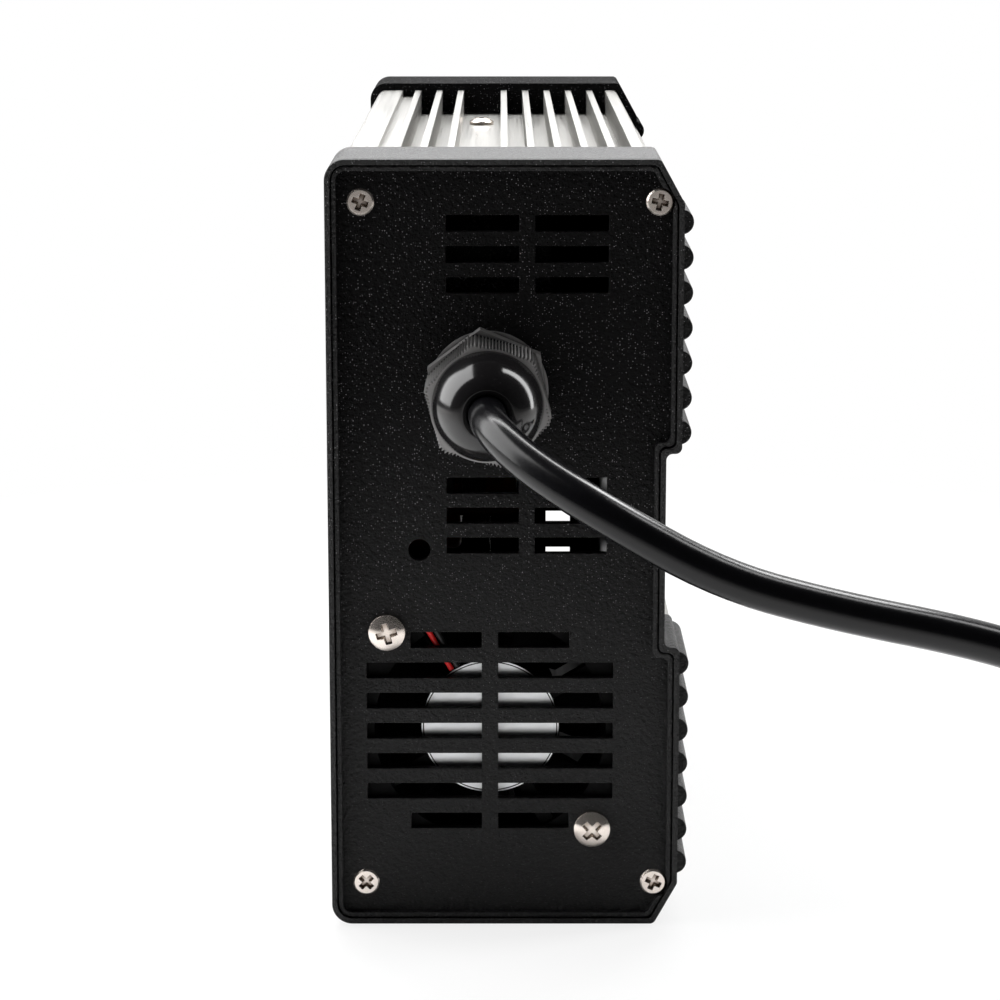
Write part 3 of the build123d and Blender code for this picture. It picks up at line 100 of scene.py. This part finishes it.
class Nodes:
    """A material's node tree, with short calls for the nodes that the materials below share."""

    def __init__(self, name):
        self.material = bpy.data.materials.new(name)
        self.material.use_nodes = True
        self.tree = self.material.node_tree
        self.shader = self.tree.nodes["Principled BSDF"]
        self.place = self.add("ShaderNodeTexCoord").outputs["Object"]

    def add(self, kind, **settings):
        node = self.tree.nodes.new(kind)
        for name, value in settings.items():
            setattr(node, name, value)
        return node

    def link(self, source, target):
        self.tree.links.new(source, target)

    def set(self, **values):
        """Sets sockets of the main shader, such as Roughness=0.4."""
        for name, value in values.items():
            self.shader.inputs[name.replace("_", " ")].default_value = value

    def drive(self, **sources):
        """Links sockets of the main shader, such as Base_Color=tone."""
        for name, source in sources.items():
            self.link(source, self.shader.inputs[name.replace("_", " ")])

    def noise(self, scale, detail=4.0, roughness=0.6, stretch=None):
        node = self.add("ShaderNodeTexNoise")
        node.inputs["Scale"].default_value = scale
        node.inputs["Detail"].default_value = detail
        node.inputs["Roughness"].default_value = roughness
        self.link(self.stretched(stretch), node.inputs["Vector"])
        return node.outputs["Fac"]

    def cells(self, scale, stretch=None):
        """Irregular cells, with the distance from each one's middle and a colour of its own."""
        node = self.add("ShaderNodeTexVoronoi")
        node.inputs["Scale"].default_value = scale
        self.link(self.stretched(stretch), node.inputs["Vector"])
        return node.outputs

    def stretched(self, stretch):
        """Object coordinates, scaled along each axis by stretch."""
        if stretch is None:
            return self.place
        node = self.add("ShaderNodeMapping")
        node.inputs["Scale"].default_value = stretch
        self.link(self.place, node.inputs["Vector"])
        return node.outputs["Vector"]

    def offset(self, centre):
        """Object coordinates, measured from a centre."""
        node = self.add("ShaderNodeVectorMath", operation="SUBTRACT")
        self.link(self.place, node.inputs[0])
        node.inputs[1].default_value = centre
        return node.outputs["Vector"]

    def length(self, vector):
        node = self.add("ShaderNodeVectorMath", operation="LENGTH")
        self.link(vector, node.inputs[0])
        return node.outputs["Value"]

    def axes(self, vector):
        """The three numbers in a vector."""
        node = self.add("ShaderNodeSeparateXYZ")
        self.link(vector, node.inputs["Vector"])
        return node.outputs["X"], node.outputs["Y"], node.outputs["Z"]

    def calculate(self, operation, *values):
        """A number worked out from sockets and plain numbers."""
        node = self.add("ShaderNodeMath", operation=operation)
        for socket, value in zip(node.inputs, values):
            if isinstance(value, (int, float)):
                socket.default_value = value
            else:
                self.link(value, socket)
        return node.outputs[0]

    def ramp(self, value, low, high, start=0.0, end=1.0):
        """Maps value from start..end to low..high, held at both ends."""
        node = self.add("ShaderNodeMapRange", clamp=True)
        node.inputs["From Min"].default_value = start
        node.inputs["From Max"].default_value = end
        node.inputs["To Min"].default_value = low
        node.inputs["To Max"].default_value = high
        self.link(value, node.inputs["Value"])
        return node.outputs["Result"]

    def spread(self, noise, low, high):
        """Maps a noise, which stays mostly within 0.3..0.7, to low..high."""
        return self.ramp(noise, low, high, start=0.3, end=0.7)

    def mix(self, factor, first, second):
        """A colour between two colours."""
        node = self.add("ShaderNodeMix", data_type="RGBA")
        self.link(factor, node.inputs["Factor"])
        for socket, colour in ((node.inputs[6], first), (node.inputs[7], second)):
            if isinstance(colour, tuple):
                socket.default_value = (*colour, 1)
            else:
                self.link(colour, socket)
        return node.outputs[2]

    def bump(self, height, strength, distance, below=None):
        node = self.add("ShaderNodeBump")
        node.inputs["Strength"].default_value = strength
        node.inputs["Distance"].default_value = distance
        self.link(height, node.inputs["Height"])
        if below is not None:
            self.link(below, node.inputs["Normal"])
        return node.outputs["Normal"]

    def edges(self, radius):
        """Normals that round the sharp edges by a small radius."""
        node = self.add("ShaderNodeBevel", samples=4)
        node.inputs["Radius"].default_value = radius
        return node.outputs["Normal"]

    def openness(self, distance):
        """1 on open faces, less down in recesses about as narrow as distance."""
        node = self.add("ShaderNodeAmbientOcclusion", samples=8)
        node.inputs["Distance"].default_value = distance
        return node.outputs["AO"]


def textured_plastic(name, roughness, gloss, worn_gloss):
    """Black moulding with a fine spark-eroded grain, with painted glints: light specks in its colour, fainter
    near the foot. Its rim, skirt and foot are worn smoother than the rest of its face."""
    m = Nodes(name)
    grain = m.noise(scale=1700, detail=5, roughness=0.75)
    hide = m.noise(scale=950, detail=3)
    dimples = m.bump(hide, strength=1.0, distance=0.0009, below=m.edges(0.00045))
    depth, height = m.axes(m.place)[1:]
    # The colour carries painted glints: light specks on the black
    m.drive(
        Base_Color=m.mix(painted_glints(m, height), (0.0010, 0.0009, 0.0011), (0.62, 0.60, 0.63)),
        Roughness=m.spread(grain, *roughness),
        Normal=m.bump(grain, strength=0.8, distance=0.0004, below=dimples),
        Specular_IOR_Level=worn(m, depth, height, gloss, worn_gloss),
    )
    return m.material


def painted_glints(m, height):
    """Painted glints: fine light specks of uneven brightness in the colour, in about half of all cells, and
    fainter near the foot, where less light glints.
    """
    cells = m.cells(scale=1900)
    speck = m.ramp(cells["Distance"], 1, 0, start=0.08, end=0.24)
    brightness = m.ramp(m.axes(cells["Color"])[0], 0, 1, start=0.45, end=1.0)
    # Painted glints fade towards the foot, where less light glints
    glint_share = m.ramp(height, 0.15, 1, start=0.045, end=0.125)
    return m.calculate("MULTIPLY", m.calculate("MULTIPLY", speck, brightness), glint_share)


def worn(m, depth, height, gloss, worn_gloss):
    """Gloss that rises off the face's plane, so on rim and skirt, and towards the foot."""
    off_face = m.calculate("ABSOLUTE", m.calculate("SUBTRACT", depth, front_y + FACE_RECESS))
    edge = m.ramp(off_face, gloss, worn_gloss, start=0.0003, end=0.0010)
    foot = m.ramp(height, 0.7 * worn_gloss, gloss, start=0.05, end=0.13)
    return m.calculate("MAXIMUM", edge, foot)


def extruded_aluminium():
    """Clear-anodised extrusion: fine die lines along its length, a soft satin sheen, and painted shade, near
    black, on its inner faces.
    """
    m = Nodes("extruded_aluminium")
    lines = m.noise(scale=900, detail=6, roughness=0.75, stretch=(1, 0.012, 1))
    broad = m.noise(scale=60, detail=3, stretch=(1, 0.15, 1))
    outside = m.mix(broad, (0.40, 0.395, 0.380), (0.49, 0.483, 0.464))
    m.drive(
        # Painted shade: the inner faces are coloured near black
        Base_Color=m.mix(cavity_painted_shade(m), outside, (0.012, 0.012, 0.012)),
        Roughness=m.spread(lines, 0.26, 0.44),
        Normal=m.bump(lines, strength=0.25, distance=0.00006, below=m.edges(0.0003)),
    )
    m.set(Metallic=1.0)
    return m.material


def cavity_painted_shade(m):
    """Where shade is painted: 1 on the extrusion's inner faces, 0 outside."""
    x, _, z = m.axes(m.offset(CAVITY_MIDDLE))
    within = []
    for value, half in ((x, CAVITY_HALF_WIDTH), (z, CAVITY_HALF_HEIGHT)):
        start, end = (half + skin for skin in CAVITY_SKIN)
        within.append(m.ramp(m.calculate("ABSOLUTE", value), 1, 0, start, end))
    return m.calculate("MULTIPLY", *within)


def bright_screw():
    """Nickel plate, warm and slightly scuffed, with painted shade, dark brown, down in the driver's cross."""
    m = Nodes("nickel_plate")
    scuffs = m.noise(scale=700, detail=5, roughness=0.8)
    plate = m.mix(scuffs, (0.76, 0.675, 0.61), (0.95, 0.875, 0.81))
    # Painted shade: the plate darkens to brown down in recesses such as the driver's cross
    unshaded_share = m.ramp(m.openness(0.0016), 0, 1, start=0.25, end=0.85)
    m.drive(
        Base_Color=m.mix(unshaded_share, (0.12, 0.075, 0.045), plate),
        Roughness=m.ramp(scuffs, 0.12, 0.27, start=0.3, end=0.75),
        Normal=m.bump(scuffs, strength=0.2, distance=0.00008, below=m.edges(0.0002)),
    )
    m.set(Metallic=0.85)
    return m.material


def moulded(name, colour, roughness, grain=1200, variation=0.15, gloss=0.5):
    """A moulded or coated surface with a fine uneven grain and slightly uneven colour."""
    m = Nodes(name)
    fine = m.noise(grain, detail=4, roughness=0.65)
    broad = m.noise(grain / 12, detail=3)
    dark = tuple(c * (1 - variation) for c in colour)
    light = tuple(min(1.0, c * (1 + variation)) for c in colour)
    m.drive(
        Base_Color=m.mix(broad, dark, light),
        Roughness=m.spread(fine, 0.85 * roughness, min(1.0, 1.18 * roughness)),
        Normal=m.bump(fine, strength=0.3, distance=0.00006, below=m.edges(0.0002)),
    )
    m.set(Specular_IOR_Level=gloss)
    return m.material


def worked_metal(name, colour, roughness):
    """A turned, drawn or stamped metal with fine marks."""
    m = Nodes(name)
    marks = m.noise(scale=900, detail=5, roughness=0.75)
    m.drive(
        Base_Color=m.mix(marks, tuple(0.82 * c for c in colour), colour),
        Roughness=m.spread(marks, 0.8 * roughness, 1.3 * roughness),
        Normal=m.bump(marks, strength=0.2, distance=0.00005, below=m.edges(0.00015)),
    )
    m.set(Metallic=1.0)
    return m.material


def polished_nylon():
    """The gland's dome: deep black, glossy, with a little dust and the faintest moulding waviness."""
    m = Nodes("polished_nylon")
    waves = m.noise(scale=120, detail=2)
    dust = m.ramp(m.noise(scale=2400, detail=2), 0, 1, start=0.70, end=0.78)
    m.drive(
        Base_Color=m.mix(dust, (0.0095, 0.0090, 0.0095), (0.06, 0.058, 0.055)),
        Roughness=m.spread(waves, 0.10, 0.17),
        Normal=m.bump(waves, strength=0.06, distance=0.0002),
    )
    m.set(Specular_IOR_Level=0.6)
    return m.material


def ribbed_nylon():
    """The gland's nut: semi-matt nylon, with painted shade down between its ribs."""
    m = Nodes("gland_nylon")
    fine = m.noise(scale=1200, detail=4, roughness=0.65)
    # Painted shade: the colour darkens down between the ribs
    unshaded_share = m.ramp(m.openness(0.0012), 0, 1, start=0.35, end=0.80)
    m.drive(
        Base_Color=m.mix(unshaded_share, (0.012, 0.011, 0.011), (0.31, 0.303, 0.30)),
        Roughness=m.spread(fine, 0.32, 0.45),
        Normal=m.bump(fine, strength=0.3, distance=0.00006),
    )
    return m.material


def satin_sheath():
    """The lead's PVC sheath: satin black with a fine grain and slightly uneven colour."""
    m = Nodes("satin_sheath")
    grain = m.noise(scale=1400, detail=4, roughness=0.7)
    broad = m.noise(scale=90, detail=3)
    m.drive(
        Base_Color=m.mix(broad, (0.0018, 0.0018, 0.0024), (0.0032, 0.0032, 0.0042)),
        Roughness=m.spread(grain, 0.19, 0.25),
        Normal=m.bump(grain, strength=0.15, distance=0.00004),
    )
    m.set(Specular_IOR_Level=0.35)
    return m.material


def label_foil():
    """The fan's plain silver label, with a thin dark line just inside its edge."""
    m = Nodes("label_foil")
    low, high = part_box("fan_label")
    reach = m.length(m.offset(((low.x + high.x) / 2, low.y, (low.z + high.z) / 2)))
    outer = (high.x - low.x) / 2
    line = m.calculate("COMPARE", reach, outer - LABEL_LINE_INSET, LABEL_LINE_HALF)
    haze = m.noise(scale=500, detail=3)
    m.drive(
        Base_Color=m.mix(line, (0.80, 0.81, 0.82), (0.05, 0.05, 0.05)),
        Roughness=m.spread(haze, 0.30, 0.42),
    )
    m.set(Metallic=0.75)
    return m.material


def coated_wire():
    """Enamelled copper, red-brown and glossy."""
    m = Nodes("enamelled_copper")
    tone = m.noise(scale=300, detail=3)
    m.drive(Base_Color=m.mix(tone, (0.17, 0.045, 0.02), (0.36, 0.11, 0.05)))
    m.set(Metallic=0.55, Roughness=0.28)
    return m.material


def printed_board():
    """Solder mask over glass epoxy with the copper's faint relief."""
    m = Nodes("solder_mask")
    tracks = m.cells(scale=260, stretch=(1, 1, 0.35))["Distance"]
    bare = m.ramp(tracks, 0, 1, start=0.25, end=0.32)
    m.drive(
        Base_Color=m.mix(bare, (0.030, 0.13, 0.045), (0.018, 0.085, 0.028)),
        Normal=m.bump(tracks, strength=0.15, distance=0.00005),
    )
    m.set(Roughness=0.32)
    return m.material


MATERIALS = {
    "case": extruded_aluminium(),
    "caps": textured_plastic("textured_black", (0.34, 0.50), gloss=0.11, worn_gloss=0.50),
    "rear_cap": textured_plastic("textured_black_dry", (0.70, 0.95), gloss=0.12, worn_gloss=0.12),
    "screws": bright_screw(),
    "gland": ribbed_nylon(),
    "gland_dome": polished_nylon(),
    "lead": satin_sheath(),
    "seal": moulded("neoprene", (0.02, 0.02, 0.02), 0.75),
    "tie": moulded("tie_nylon", (0.012, 0.012, 0.012), 0.42),
    "pins": worked_metal("pin_brass", (0.83, 0.64, 0.36), 0.24),
    "fan_moulding": moulded("fan_plastic", (0.0030, 0.0029, 0.0031), 0.60, gloss=0.08),
    "label": label_foil(),
    "ferrite": moulded("sintered_ferrite", (0.035, 0.033, 0.032), 0.62, grain=2200),
    "steel": worked_metal("bright_steel", (0.62, 0.61, 0.59), 0.30),
    "brass": worked_metal("turned_brass", (0.78, 0.58, 0.30), 0.25),
    "copper": coated_wire(),
    "red_wire": moulded("red_pvc", (0.90, 0.010, 0.012), 0.36),
    "black_wire": moulded("black_pvc", (0.012, 0.012, 0.012), 0.36),
    "brown_wire": moulded("brown_pvc", (0.10, 0.035, 0.016), 0.36),
    "blue_wire": moulded("blue_pvc", (0.02, 0.07, 0.26), 0.36),
    "earth_wire": moulded("green_yellow_pvc", (0.20, 0.26, 0.03), 0.36),
    "white_wire": moulded("white_silicone", (0.52, 0.50, 0.47), 0.45, variation=0.05),
    "white_plastic": moulded("white_nylon", (0.80, 0.79, 0.76), 0.42, variation=0.05),
    "board": printed_board(),
    "sheet": moulded("polyester_sheet", (0.55, 0.50, 0.36), 0.20),
    "tape": moulded("polyester_tape", (0.62, 0.36, 0.04), 0.28),
    "sleeve": moulded("shrink_sleeve", (0.012, 0.014, 0.020), 0.25),
    "film_case": moulded("film_capacitor", (0.62, 0.46, 0.05), 0.40),
    "chip": moulded("moulded_epoxy", (0.016, 0.016, 0.016), 0.55),
    "pad": moulded("thermal_pad", (0.30, 0.33, 0.35), 0.70),
    "white_metal": worked_metal("plated_zinc", (0.66, 0.64, 0.60), 0.28),
    "insert": moulded("socket_insulator", (0.022, 0.022, 0.022), 0.50),
    "lamps": moulded("lamp_epoxy", (0.62, 0.66, 0.56), 0.18, variation=0.05),
}


def paint(piece, slot):
    """Gives a piece one finish."""
    piece.data.materials.clear()
    piece.data.materials.append(MATERIALS[slot])


def finish_cad_nodes():
    """Every CAD node takes the finish that the record names for it, and the rear cap a drier one."""
    for entry in frame["record"]["subparts"]:
        piece = nodes[entry["node"]]
        for place in piece.material_slots:
            place.material = MATERIALS[entry["material_slot"]]
    paint(nodes["rear_end_cap"], "rear_cap")


def link(piece, body, slot):
    """Puts a new piece in the scene, on its body and with its finish."""
    bpy.context.scene.collection.objects.link(piece)
    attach(piece, body)
    paint(piece, slot)


# The lead

CORD_DIAMETER = 0.0088
COIL_CENTRE = Vector((0.213, front_y + 0.00665, 0))
OUTER_TURN = 0.0576
MIDDLE_TURN = 0.0488
INNER_TURN = 0.040
LOW_LAYER = 0.00555
HIGH_LAYER = 0.01435
COIL_TURNS = 4.25
POINTS_PER_TURN = 16
TAIL_LENGTH = 0.048
TAIL_SHARES = (0.35, 0.68, 1.0)

# Where the coil changes turn or layer, counted in turns
TO_MIDDLE = (0.87, 0.98)
TO_INNER = (1.87, 1.98)
UP_A_LAYER = (2.72, 2.85)
BACK_TO_MIDDLE = (3.60, 3.72)


def free_route():
    """The free stretch, from the gland's mouth to the coil: the points chosen for the CAD tube."""
    return [
        (gland_x, exit_y, gland_z),
        (gland_x, exit_y - 0.0090, gland_z),
        (0.0035, front_y - 0.0505, 0.1278),
        (0.0208, front_y - 0.0630, 0.1192),
        (0.0449, front_y - 0.0670, 0.1063),
        (0.0693, front_y - 0.0680, 0.0997),
        (0.0980, front_y - 0.0680, 0.0939),
        (0.1170, front_y - 0.0670, 0.0878),
        (0.1343, front_y - 0.0630, 0.0743),
        (0.1455, front_y - 0.0600, 0.0535),
        (0.1560, front_y - 0.0560, 0.0335),
        (0.1725, front_y - 0.0520, 0.0152),
        (COIL_CENTRE.x - 0.021, COIL_CENTRE.y - OUTER_TURN, LOW_LAYER),
    ]


def eased(value, span, before, after):
    """Moves smoothly from before to after while value crosses the span."""
    start, end = span
    share = min(1.0, max(0.0, (value - start) / (end - start)))
    share = share * share * (3 - 2 * share)
    return before + (after - before) * share


def coil_point(turns):
    """A point of the coil, counted in turns from where the lead joins it: three turns inwards on the
    floor's layer, one on top of the inmost, and a quarter on top of the middle one."""
    radius = eased(turns, TO_MIDDLE, OUTER_TURN, MIDDLE_TURN)
    radius = eased(turns, TO_INNER, radius, INNER_TURN)
    radius = eased(turns, BACK_TO_MIDDLE, radius, MIDDLE_TURN)
    height = eased(turns, UP_A_LAYER, LOW_LAYER, HIGH_LAYER)
    # The curve runs inside its points, so they lie a little further out than the turn
    step = 2 * pi / POINTS_PER_TURN
    reach = radius / (0.75 + 0.25 * cos(step))
    angle = 2 * pi * turns - pi / 2
    return (COIL_CENTRE.x + reach * cos(angle), COIL_CENTRE.y + reach * sin(angle), height)


def lead_points():
    """The whole lead: free stretch, coil and the straight tail that ends in the plug."""
    points = free_route()
    count = int(COIL_TURNS * POINTS_PER_TURN)
    points += [coil_point(i / POINTS_PER_TURN) for i in range(count + 1)]
    tail_x = COIL_CENTRE.x + MIDDLE_TURN
    for share in TAIL_SHARES:
        points.append((tail_x, COIL_CENTRE.y + share * TAIL_LENGTH, HIGH_LAYER))
    return points


def make_lead():
    """The lead as one curve. Its radius is kept in its points, because the curve's box grows by theirs."""
    curve = bpy.data.curves.new("lead", "CURVE")
    curve.dimensions = "3D"
    curve.bevel_depth = 1
    curve.bevel_resolution = 6
    curve.use_fill_caps = True
    curve.resolution_u = 6
    spline = curve.splines.new("NURBS")
    points = lead_points()
    spline.points.add(len(points) - 1)
    for point, place in zip(spline.points, points):
        point.co = (*place, 1)
        point.radius = CORD_DIAMETER / 2
    spline.order_u = 3
    spline.use_endpoint_u = True
    piece = bpy.data.objects.new("lead", curve)
    link(piece, "charger", "lead")
    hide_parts("mains_cord", "cord_coil", "cord_tail")
    on_lead = ["gland_nut_detail", "gland_body", "gland_locknut", "gland_seal", "gland_washer"]
    on_lead += ["cord_in_gland", "cord_tie", "plug_body", "plug_blades", "plug_earth_pin"]


# The gland's nut: hexagon with fine ribs along its flats, and the glossy dome

NUT_FLATS = 0.027
NUT_TURN = radians(45)
NUT_CORNER_REACH = 0.0016
NUT_BACK_BEVEL = 0.0006
NUT_FRONT_BEVEL = 0.0005
NUT_BEVEL_SHARE = 0.985
NUT_LENGTH = 0.014
RIBS_PER_FLAT = 18
RIB_DEPTH = 0.00075
BORE_RADIUS = 0.0114

DOME_LENGTH = 0.0105
DOME_RADIUS = 0.0133
DOME_FOOT_RADIUS = DOME_RADIUS - 0.0003
DOME_GROOVE_RADIUS = DOME_RADIUS + 0.00015
DOME_GROOVE_LIFT = 0.00002
DOME_FOOT_LIFT = 0.0001
DOME_BULGE_RADIUS = 0.93 * DOME_RADIUS
DOME_BULGE_LENGTH = 0.62 * DOME_LENGTH
MOUTH_RADIUS = 0.0056
MOUTH_FLAT = 0.0024
LIP_RADIUS = MOUTH_RADIUS - 0.0008
LIP_DEPTH = 0.0004
THROAT_RADIUS = MOUTH_RADIUS - 0.0009
THROAT_DEPTH = 0.0030
BORE_DEPTH = 0.0070


def ribbed_hexagon(turn, flats, rib_depth, samples=5):
    """Points round a hexagon with turned corners and fine ribs, as (x, z) from the axis."""
    points = []
    steps = RIBS_PER_FLAT * samples
    for side in range(6):
        facing = turn + radians(30) + side * radians(60)
        for i in range(steps):
            along = radians(60) * (i / steps - 0.5)
            reach = min(flats / 2 / cos(along), flats / 2 + NUT_CORNER_REACH)
            wave = 0.5 - 0.5 * cos(2 * pi * i / samples)
            reach -= rib_depth * wave**0.5
            points.append((reach * cos(facing + along), reach * sin(facing + along)))
    return points


def ring_of(mesh, points, y):
    """A ring of the mesh across the gland's axis, at depth y."""
    return [mesh.verts.new((gland_x + x, y, gland_z + z)) for x, z in points]


def bridge(mesh, first, second):
    """Joins two rings with a band of four-sided faces."""
    count = len(first)
    for i in range(count):
        j = (i + 1) % count
        mesh.faces.new((first[i], first[j], second[j], second[i]))


def scaled(points, share):
    return [(x * share, z * share) for x, z in points]


def circle_like(points, radius):
    """The same number of points on a circle, at the same angles."""
    rounded = []
    for x, z in points:
        reach = (x * x + z * z) ** 0.5
        rounded.append((x / reach * radius, z / reach * radius))
    return rounded


def nut_rings(mesh, shoulder_y):
    """The nut's skin as rings, from its back over the ribs, shoulder and dome into the mouth."""
    back_y = nut_high.y
    mouth_y = shoulder_y - DOME_LENGTH
    outline = ribbed_hexagon(NUT_TURN, NUT_FLATS, RIB_DEPTH)
    smooth = ribbed_hexagon(NUT_TURN, NUT_FLATS - 2 * RIB_DEPTH, 0)
    shapes = [
        (circle_like(outline, BORE_RADIUS), back_y),
        (scaled(smooth, NUT_BEVEL_SHARE), back_y),
        (outline, back_y - NUT_BACK_BEVEL),
        (outline, shoulder_y + NUT_FRONT_BEVEL),
        (scaled(outline, NUT_BEVEL_SHARE), shoulder_y),
        (circle_like(outline, DOME_GROOVE_RADIUS), shoulder_y - DOME_GROOVE_LIFT),
        (circle_like(outline, DOME_FOOT_RADIUS), shoulder_y - DOME_FOOT_LIFT),
    ]
    for radius, along in dome_profile():
        shapes.append((circle_like(outline, radius), shoulder_y - along))
    inside = ((LIP_RADIUS, LIP_DEPTH), (THROAT_RADIUS, THROAT_DEPTH), (BORE_RADIUS, BORE_DEPTH))
    for radius, depth in inside:
        shapes.append((circle_like(outline, radius), mouth_y + depth))
    return [ring_of(mesh, points, y) for points, y in shapes]


def make_gland_nut():
    """The clamping nut as one skin: ribbed hexagon, flat shoulder, dome, mouth and the bore inside."""
    shoulder_y = nut_high.y - NUT_LENGTH
    mesh = bmesh.new()
    rings = nut_rings(mesh, shoulder_y)
    for first, second in zip(rings, rings[1:]):
        bridge(mesh, first, second)
    bridge(mesh, rings[-1], rings[0])
    bmesh.ops.recalc_face_normals(mesh, faces=mesh.faces)
    data = bpy.data.meshes.new("gland_nut_detail")
    mesh.to_mesh(data)
    mesh.free()
    piece = bpy.data.objects.new("gland_nut_detail", data)
    data.shade_smooth()
    link(piece, "charger", "gland_dome")
    data.materials.append(MATERIALS["gland"])
    for face in data.polygons:
        if face.center.y > shoulder_y - 2 * DOME_FOOT_LIFT:
            face.material_index = 1
    data.set_sharp_from_angle(angle=radians(35))
    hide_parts("gland_nut")


def dome_profile(steps=22):
    """The dome as (radius, distance along), on one curve from its foot to the mouth's lip."""
    places = [(DOME_FOOT_RADIUS, 0.0), (DOME_BULGE_RADIUS, DOME_BULGE_LENGTH)]
    places += [(MOUTH_RADIUS + MOUTH_FLAT, DOME_LENGTH), (MOUTH_RADIUS, DOME_LENGTH)]
    profile = []
    for i in range(1, steps + 1):
        t = i / steps
        weights = ((1 - t) ** 3, 3 * t * (1 - t) ** 2, 3 * t * t * (1 - t), t**3)
        radius = sum(w * p[0] for w, p in zip(weights, places))
        along = sum(w * p[1] for w, p in zip(weights, places))
        profile.append((radius, along))
    return profile


# The stage, light and camera


def make_floor():
    """A floor that is seen as white and keeps a soft shadow. Further off its colour is painted darker, as
    shade where less light falls, so it throws back less light.
    """
    data = bpy.data.meshes.new("floor")
    side = FLOOR_SIDE
    corners = [(-side, -side, 0), (side, -side, 0), (side, side, 0), (-side, side, 0)]
    data.from_pydata(corners, [], [(0, 1, 2, 3)])
    floor = bpy.data.objects.new("floor", data)
    bpy.context.scene.collection.objects.link(floor)
    floor.location.z = -FLOOR_DROP
    m = Nodes("white_floor")
    m.set(Roughness=0.9)
    reach = m.length(m.place)
    # Painted shade: the floor's colour darkens further off
    far = m.ramp(reach, 0, 1, *FLOOR_FALL)
    m.drive(Base_Color=m.mix(far, FLOOR_NEAR, FLOOR_FAR))
    white = m.add("ShaderNodeEmission")
    white.inputs["Color"].default_value = (1, 1, 1, 1)
    white.inputs["Strength"].default_value = 1.0
    seen = m.add("ShaderNodeLightPath").outputs["Is Camera Ray"]
    share = m.ramp(reach, FLOOR_WHITE_NEAR, 1.0, *FLOOR_WHITE_RISE)
    blend = m.add("ShaderNodeMixShader")
    m.link(m.calculate("MULTIPLY", seen, share), blend.inputs[0])
    m.link(m.shader.outputs[0], blend.inputs[1])
    m.link(white.outputs[0], blend.inputs[2])
    m.link(blend.outputs[0], m.tree.nodes["Material Output"].inputs["Surface"])
    data.materials.append(m.material)


def make_world():
    """A pale surround that lights the object plainly and is seen, and mirrored, as white."""
    world = bpy.data.worlds.new("surround")
    bpy.context.scene.world = world
    world.use_nodes = True
    tree = world.node_tree
    tree.nodes.remove(tree.nodes["Background"])
    place = tree.nodes.new("ShaderNodeTexCoord")
    split = tree.nodes.new("ShaderNodeSeparateXYZ")
    tree.links.new(place.outputs["Generated"], split.inputs["Vector"])
    path = tree.nodes.new("ShaderNodeLightPath")
    light = before_and_behind(tree, split.outputs["Y"], WORLD_RISE, WORLD_BEHIND)
    mirrored = before_and_behind(tree, split.outputs["Y"], WORLD_MIRRORED_RISE, WORLD_MIRRORED)
    white = tree.nodes.new("ShaderNodeBackground")
    white.inputs["Color"].default_value = (1, 1, 1, 1)
    white.inputs["Strength"].default_value = 1.0
    glossy = tree.nodes.new("ShaderNodeMixShader")
    tree.links.new(path.outputs["Is Glossy Ray"], glossy.inputs[0])
    tree.links.new(light.outputs[0], glossy.inputs[1])
    tree.links.new(mirrored.outputs[0], glossy.inputs[2])
    blend = tree.nodes.new("ShaderNodeMixShader")
    tree.links.new(path.outputs["Is Camera Ray"], blend.inputs[0])
    tree.links.new(glossy.outputs[0], blend.inputs[1])
    tree.links.new(white.outputs[0], blend.inputs[2])
    tree.links.new(blend.outputs[0], tree.nodes["World Output"].inputs["Surface"])


def before_and_behind(tree, depth, reach, strength):
    """A white surround that is dark before the object and rises to the given strength behind it."""
    behind = tree.nodes.new("ShaderNodeMapRange")
    behind.interpolation_type = "SMOOTHSTEP"
    behind.inputs["From Min"].default_value = reach[0]
    behind.inputs["From Max"].default_value = reach[1]
    behind.inputs["To Min"].default_value = WORLD_BEFORE
    behind.inputs["To Max"].default_value = strength
    tree.links.new(depth, behind.inputs["Value"])
    light = tree.nodes.new("ShaderNodeBackground")
    light.inputs["Color"].default_value = (1, 1, 1, 1)
    tree.links.new(behind.outputs["Result"], light.inputs["Strength"])
    return light


def add_lamp(name, place, target, size, power):
    """A rectangular softbox that the camera doesn't see."""
    lamp = bpy.data.lights.new(name, "AREA")
    lamp.shape = "RECTANGLE"
    lamp.size, lamp.size_y = size
    lamp.energy = power
    piece = bpy.data.objects.new(name, lamp)
    piece.location = place
    aim = Vector(target) - Vector(place)
    piece.rotation_euler = aim.to_track_quat("-Z", "Y").to_euler()
    piece.visible_camera = False
    bpy.context.scene.collection.objects.link(piece)


def make_lamps():
    """Two upright softboxes beside the object and a wide one over its far end."""
    middle = (0, -0.05, 0.10)
    top_edge = (0, -0.12, 0.19)
    add_lamp("left_softbox", (-0.84, 0.04, 0.68), middle, size=(0.86, 1.30), power=18)
    add_lamp("right_softbox", (0.90, 0.14, 0.64), middle, size=(0.22, 1.60), power=9)
    add_lamp("top_softbox", (0, 0.28, 0.60), top_edge, size=(0.7, 0.26), power=7.5)


def make_camera():
    """The photograph's viewpoint."""
    camera = bpy.data.cameras.new("camera")
    camera.sensor_width = SENSOR_WIDTH
    camera.lens = FOCAL
    camera.shift_x, camera.shift_y = SHIFT
    camera.clip_start = 0.01
    camera.clip_end = 20
    piece = bpy.data.objects.new("camera", camera)
    piece.location = EYE
    piece.rotation_euler = (radians(90) - TILT_DOWN, 0, 0)
    bpy.context.scene.collection.objects.link(piece)
    bpy.context.scene.camera = piece


finish_cad_nodes()
make_gland_nut()
make_lead()
make_floor()
make_world()
make_lamps()
make_camera()
bpy.context.scene.view_settings.view_transform = "Standard"
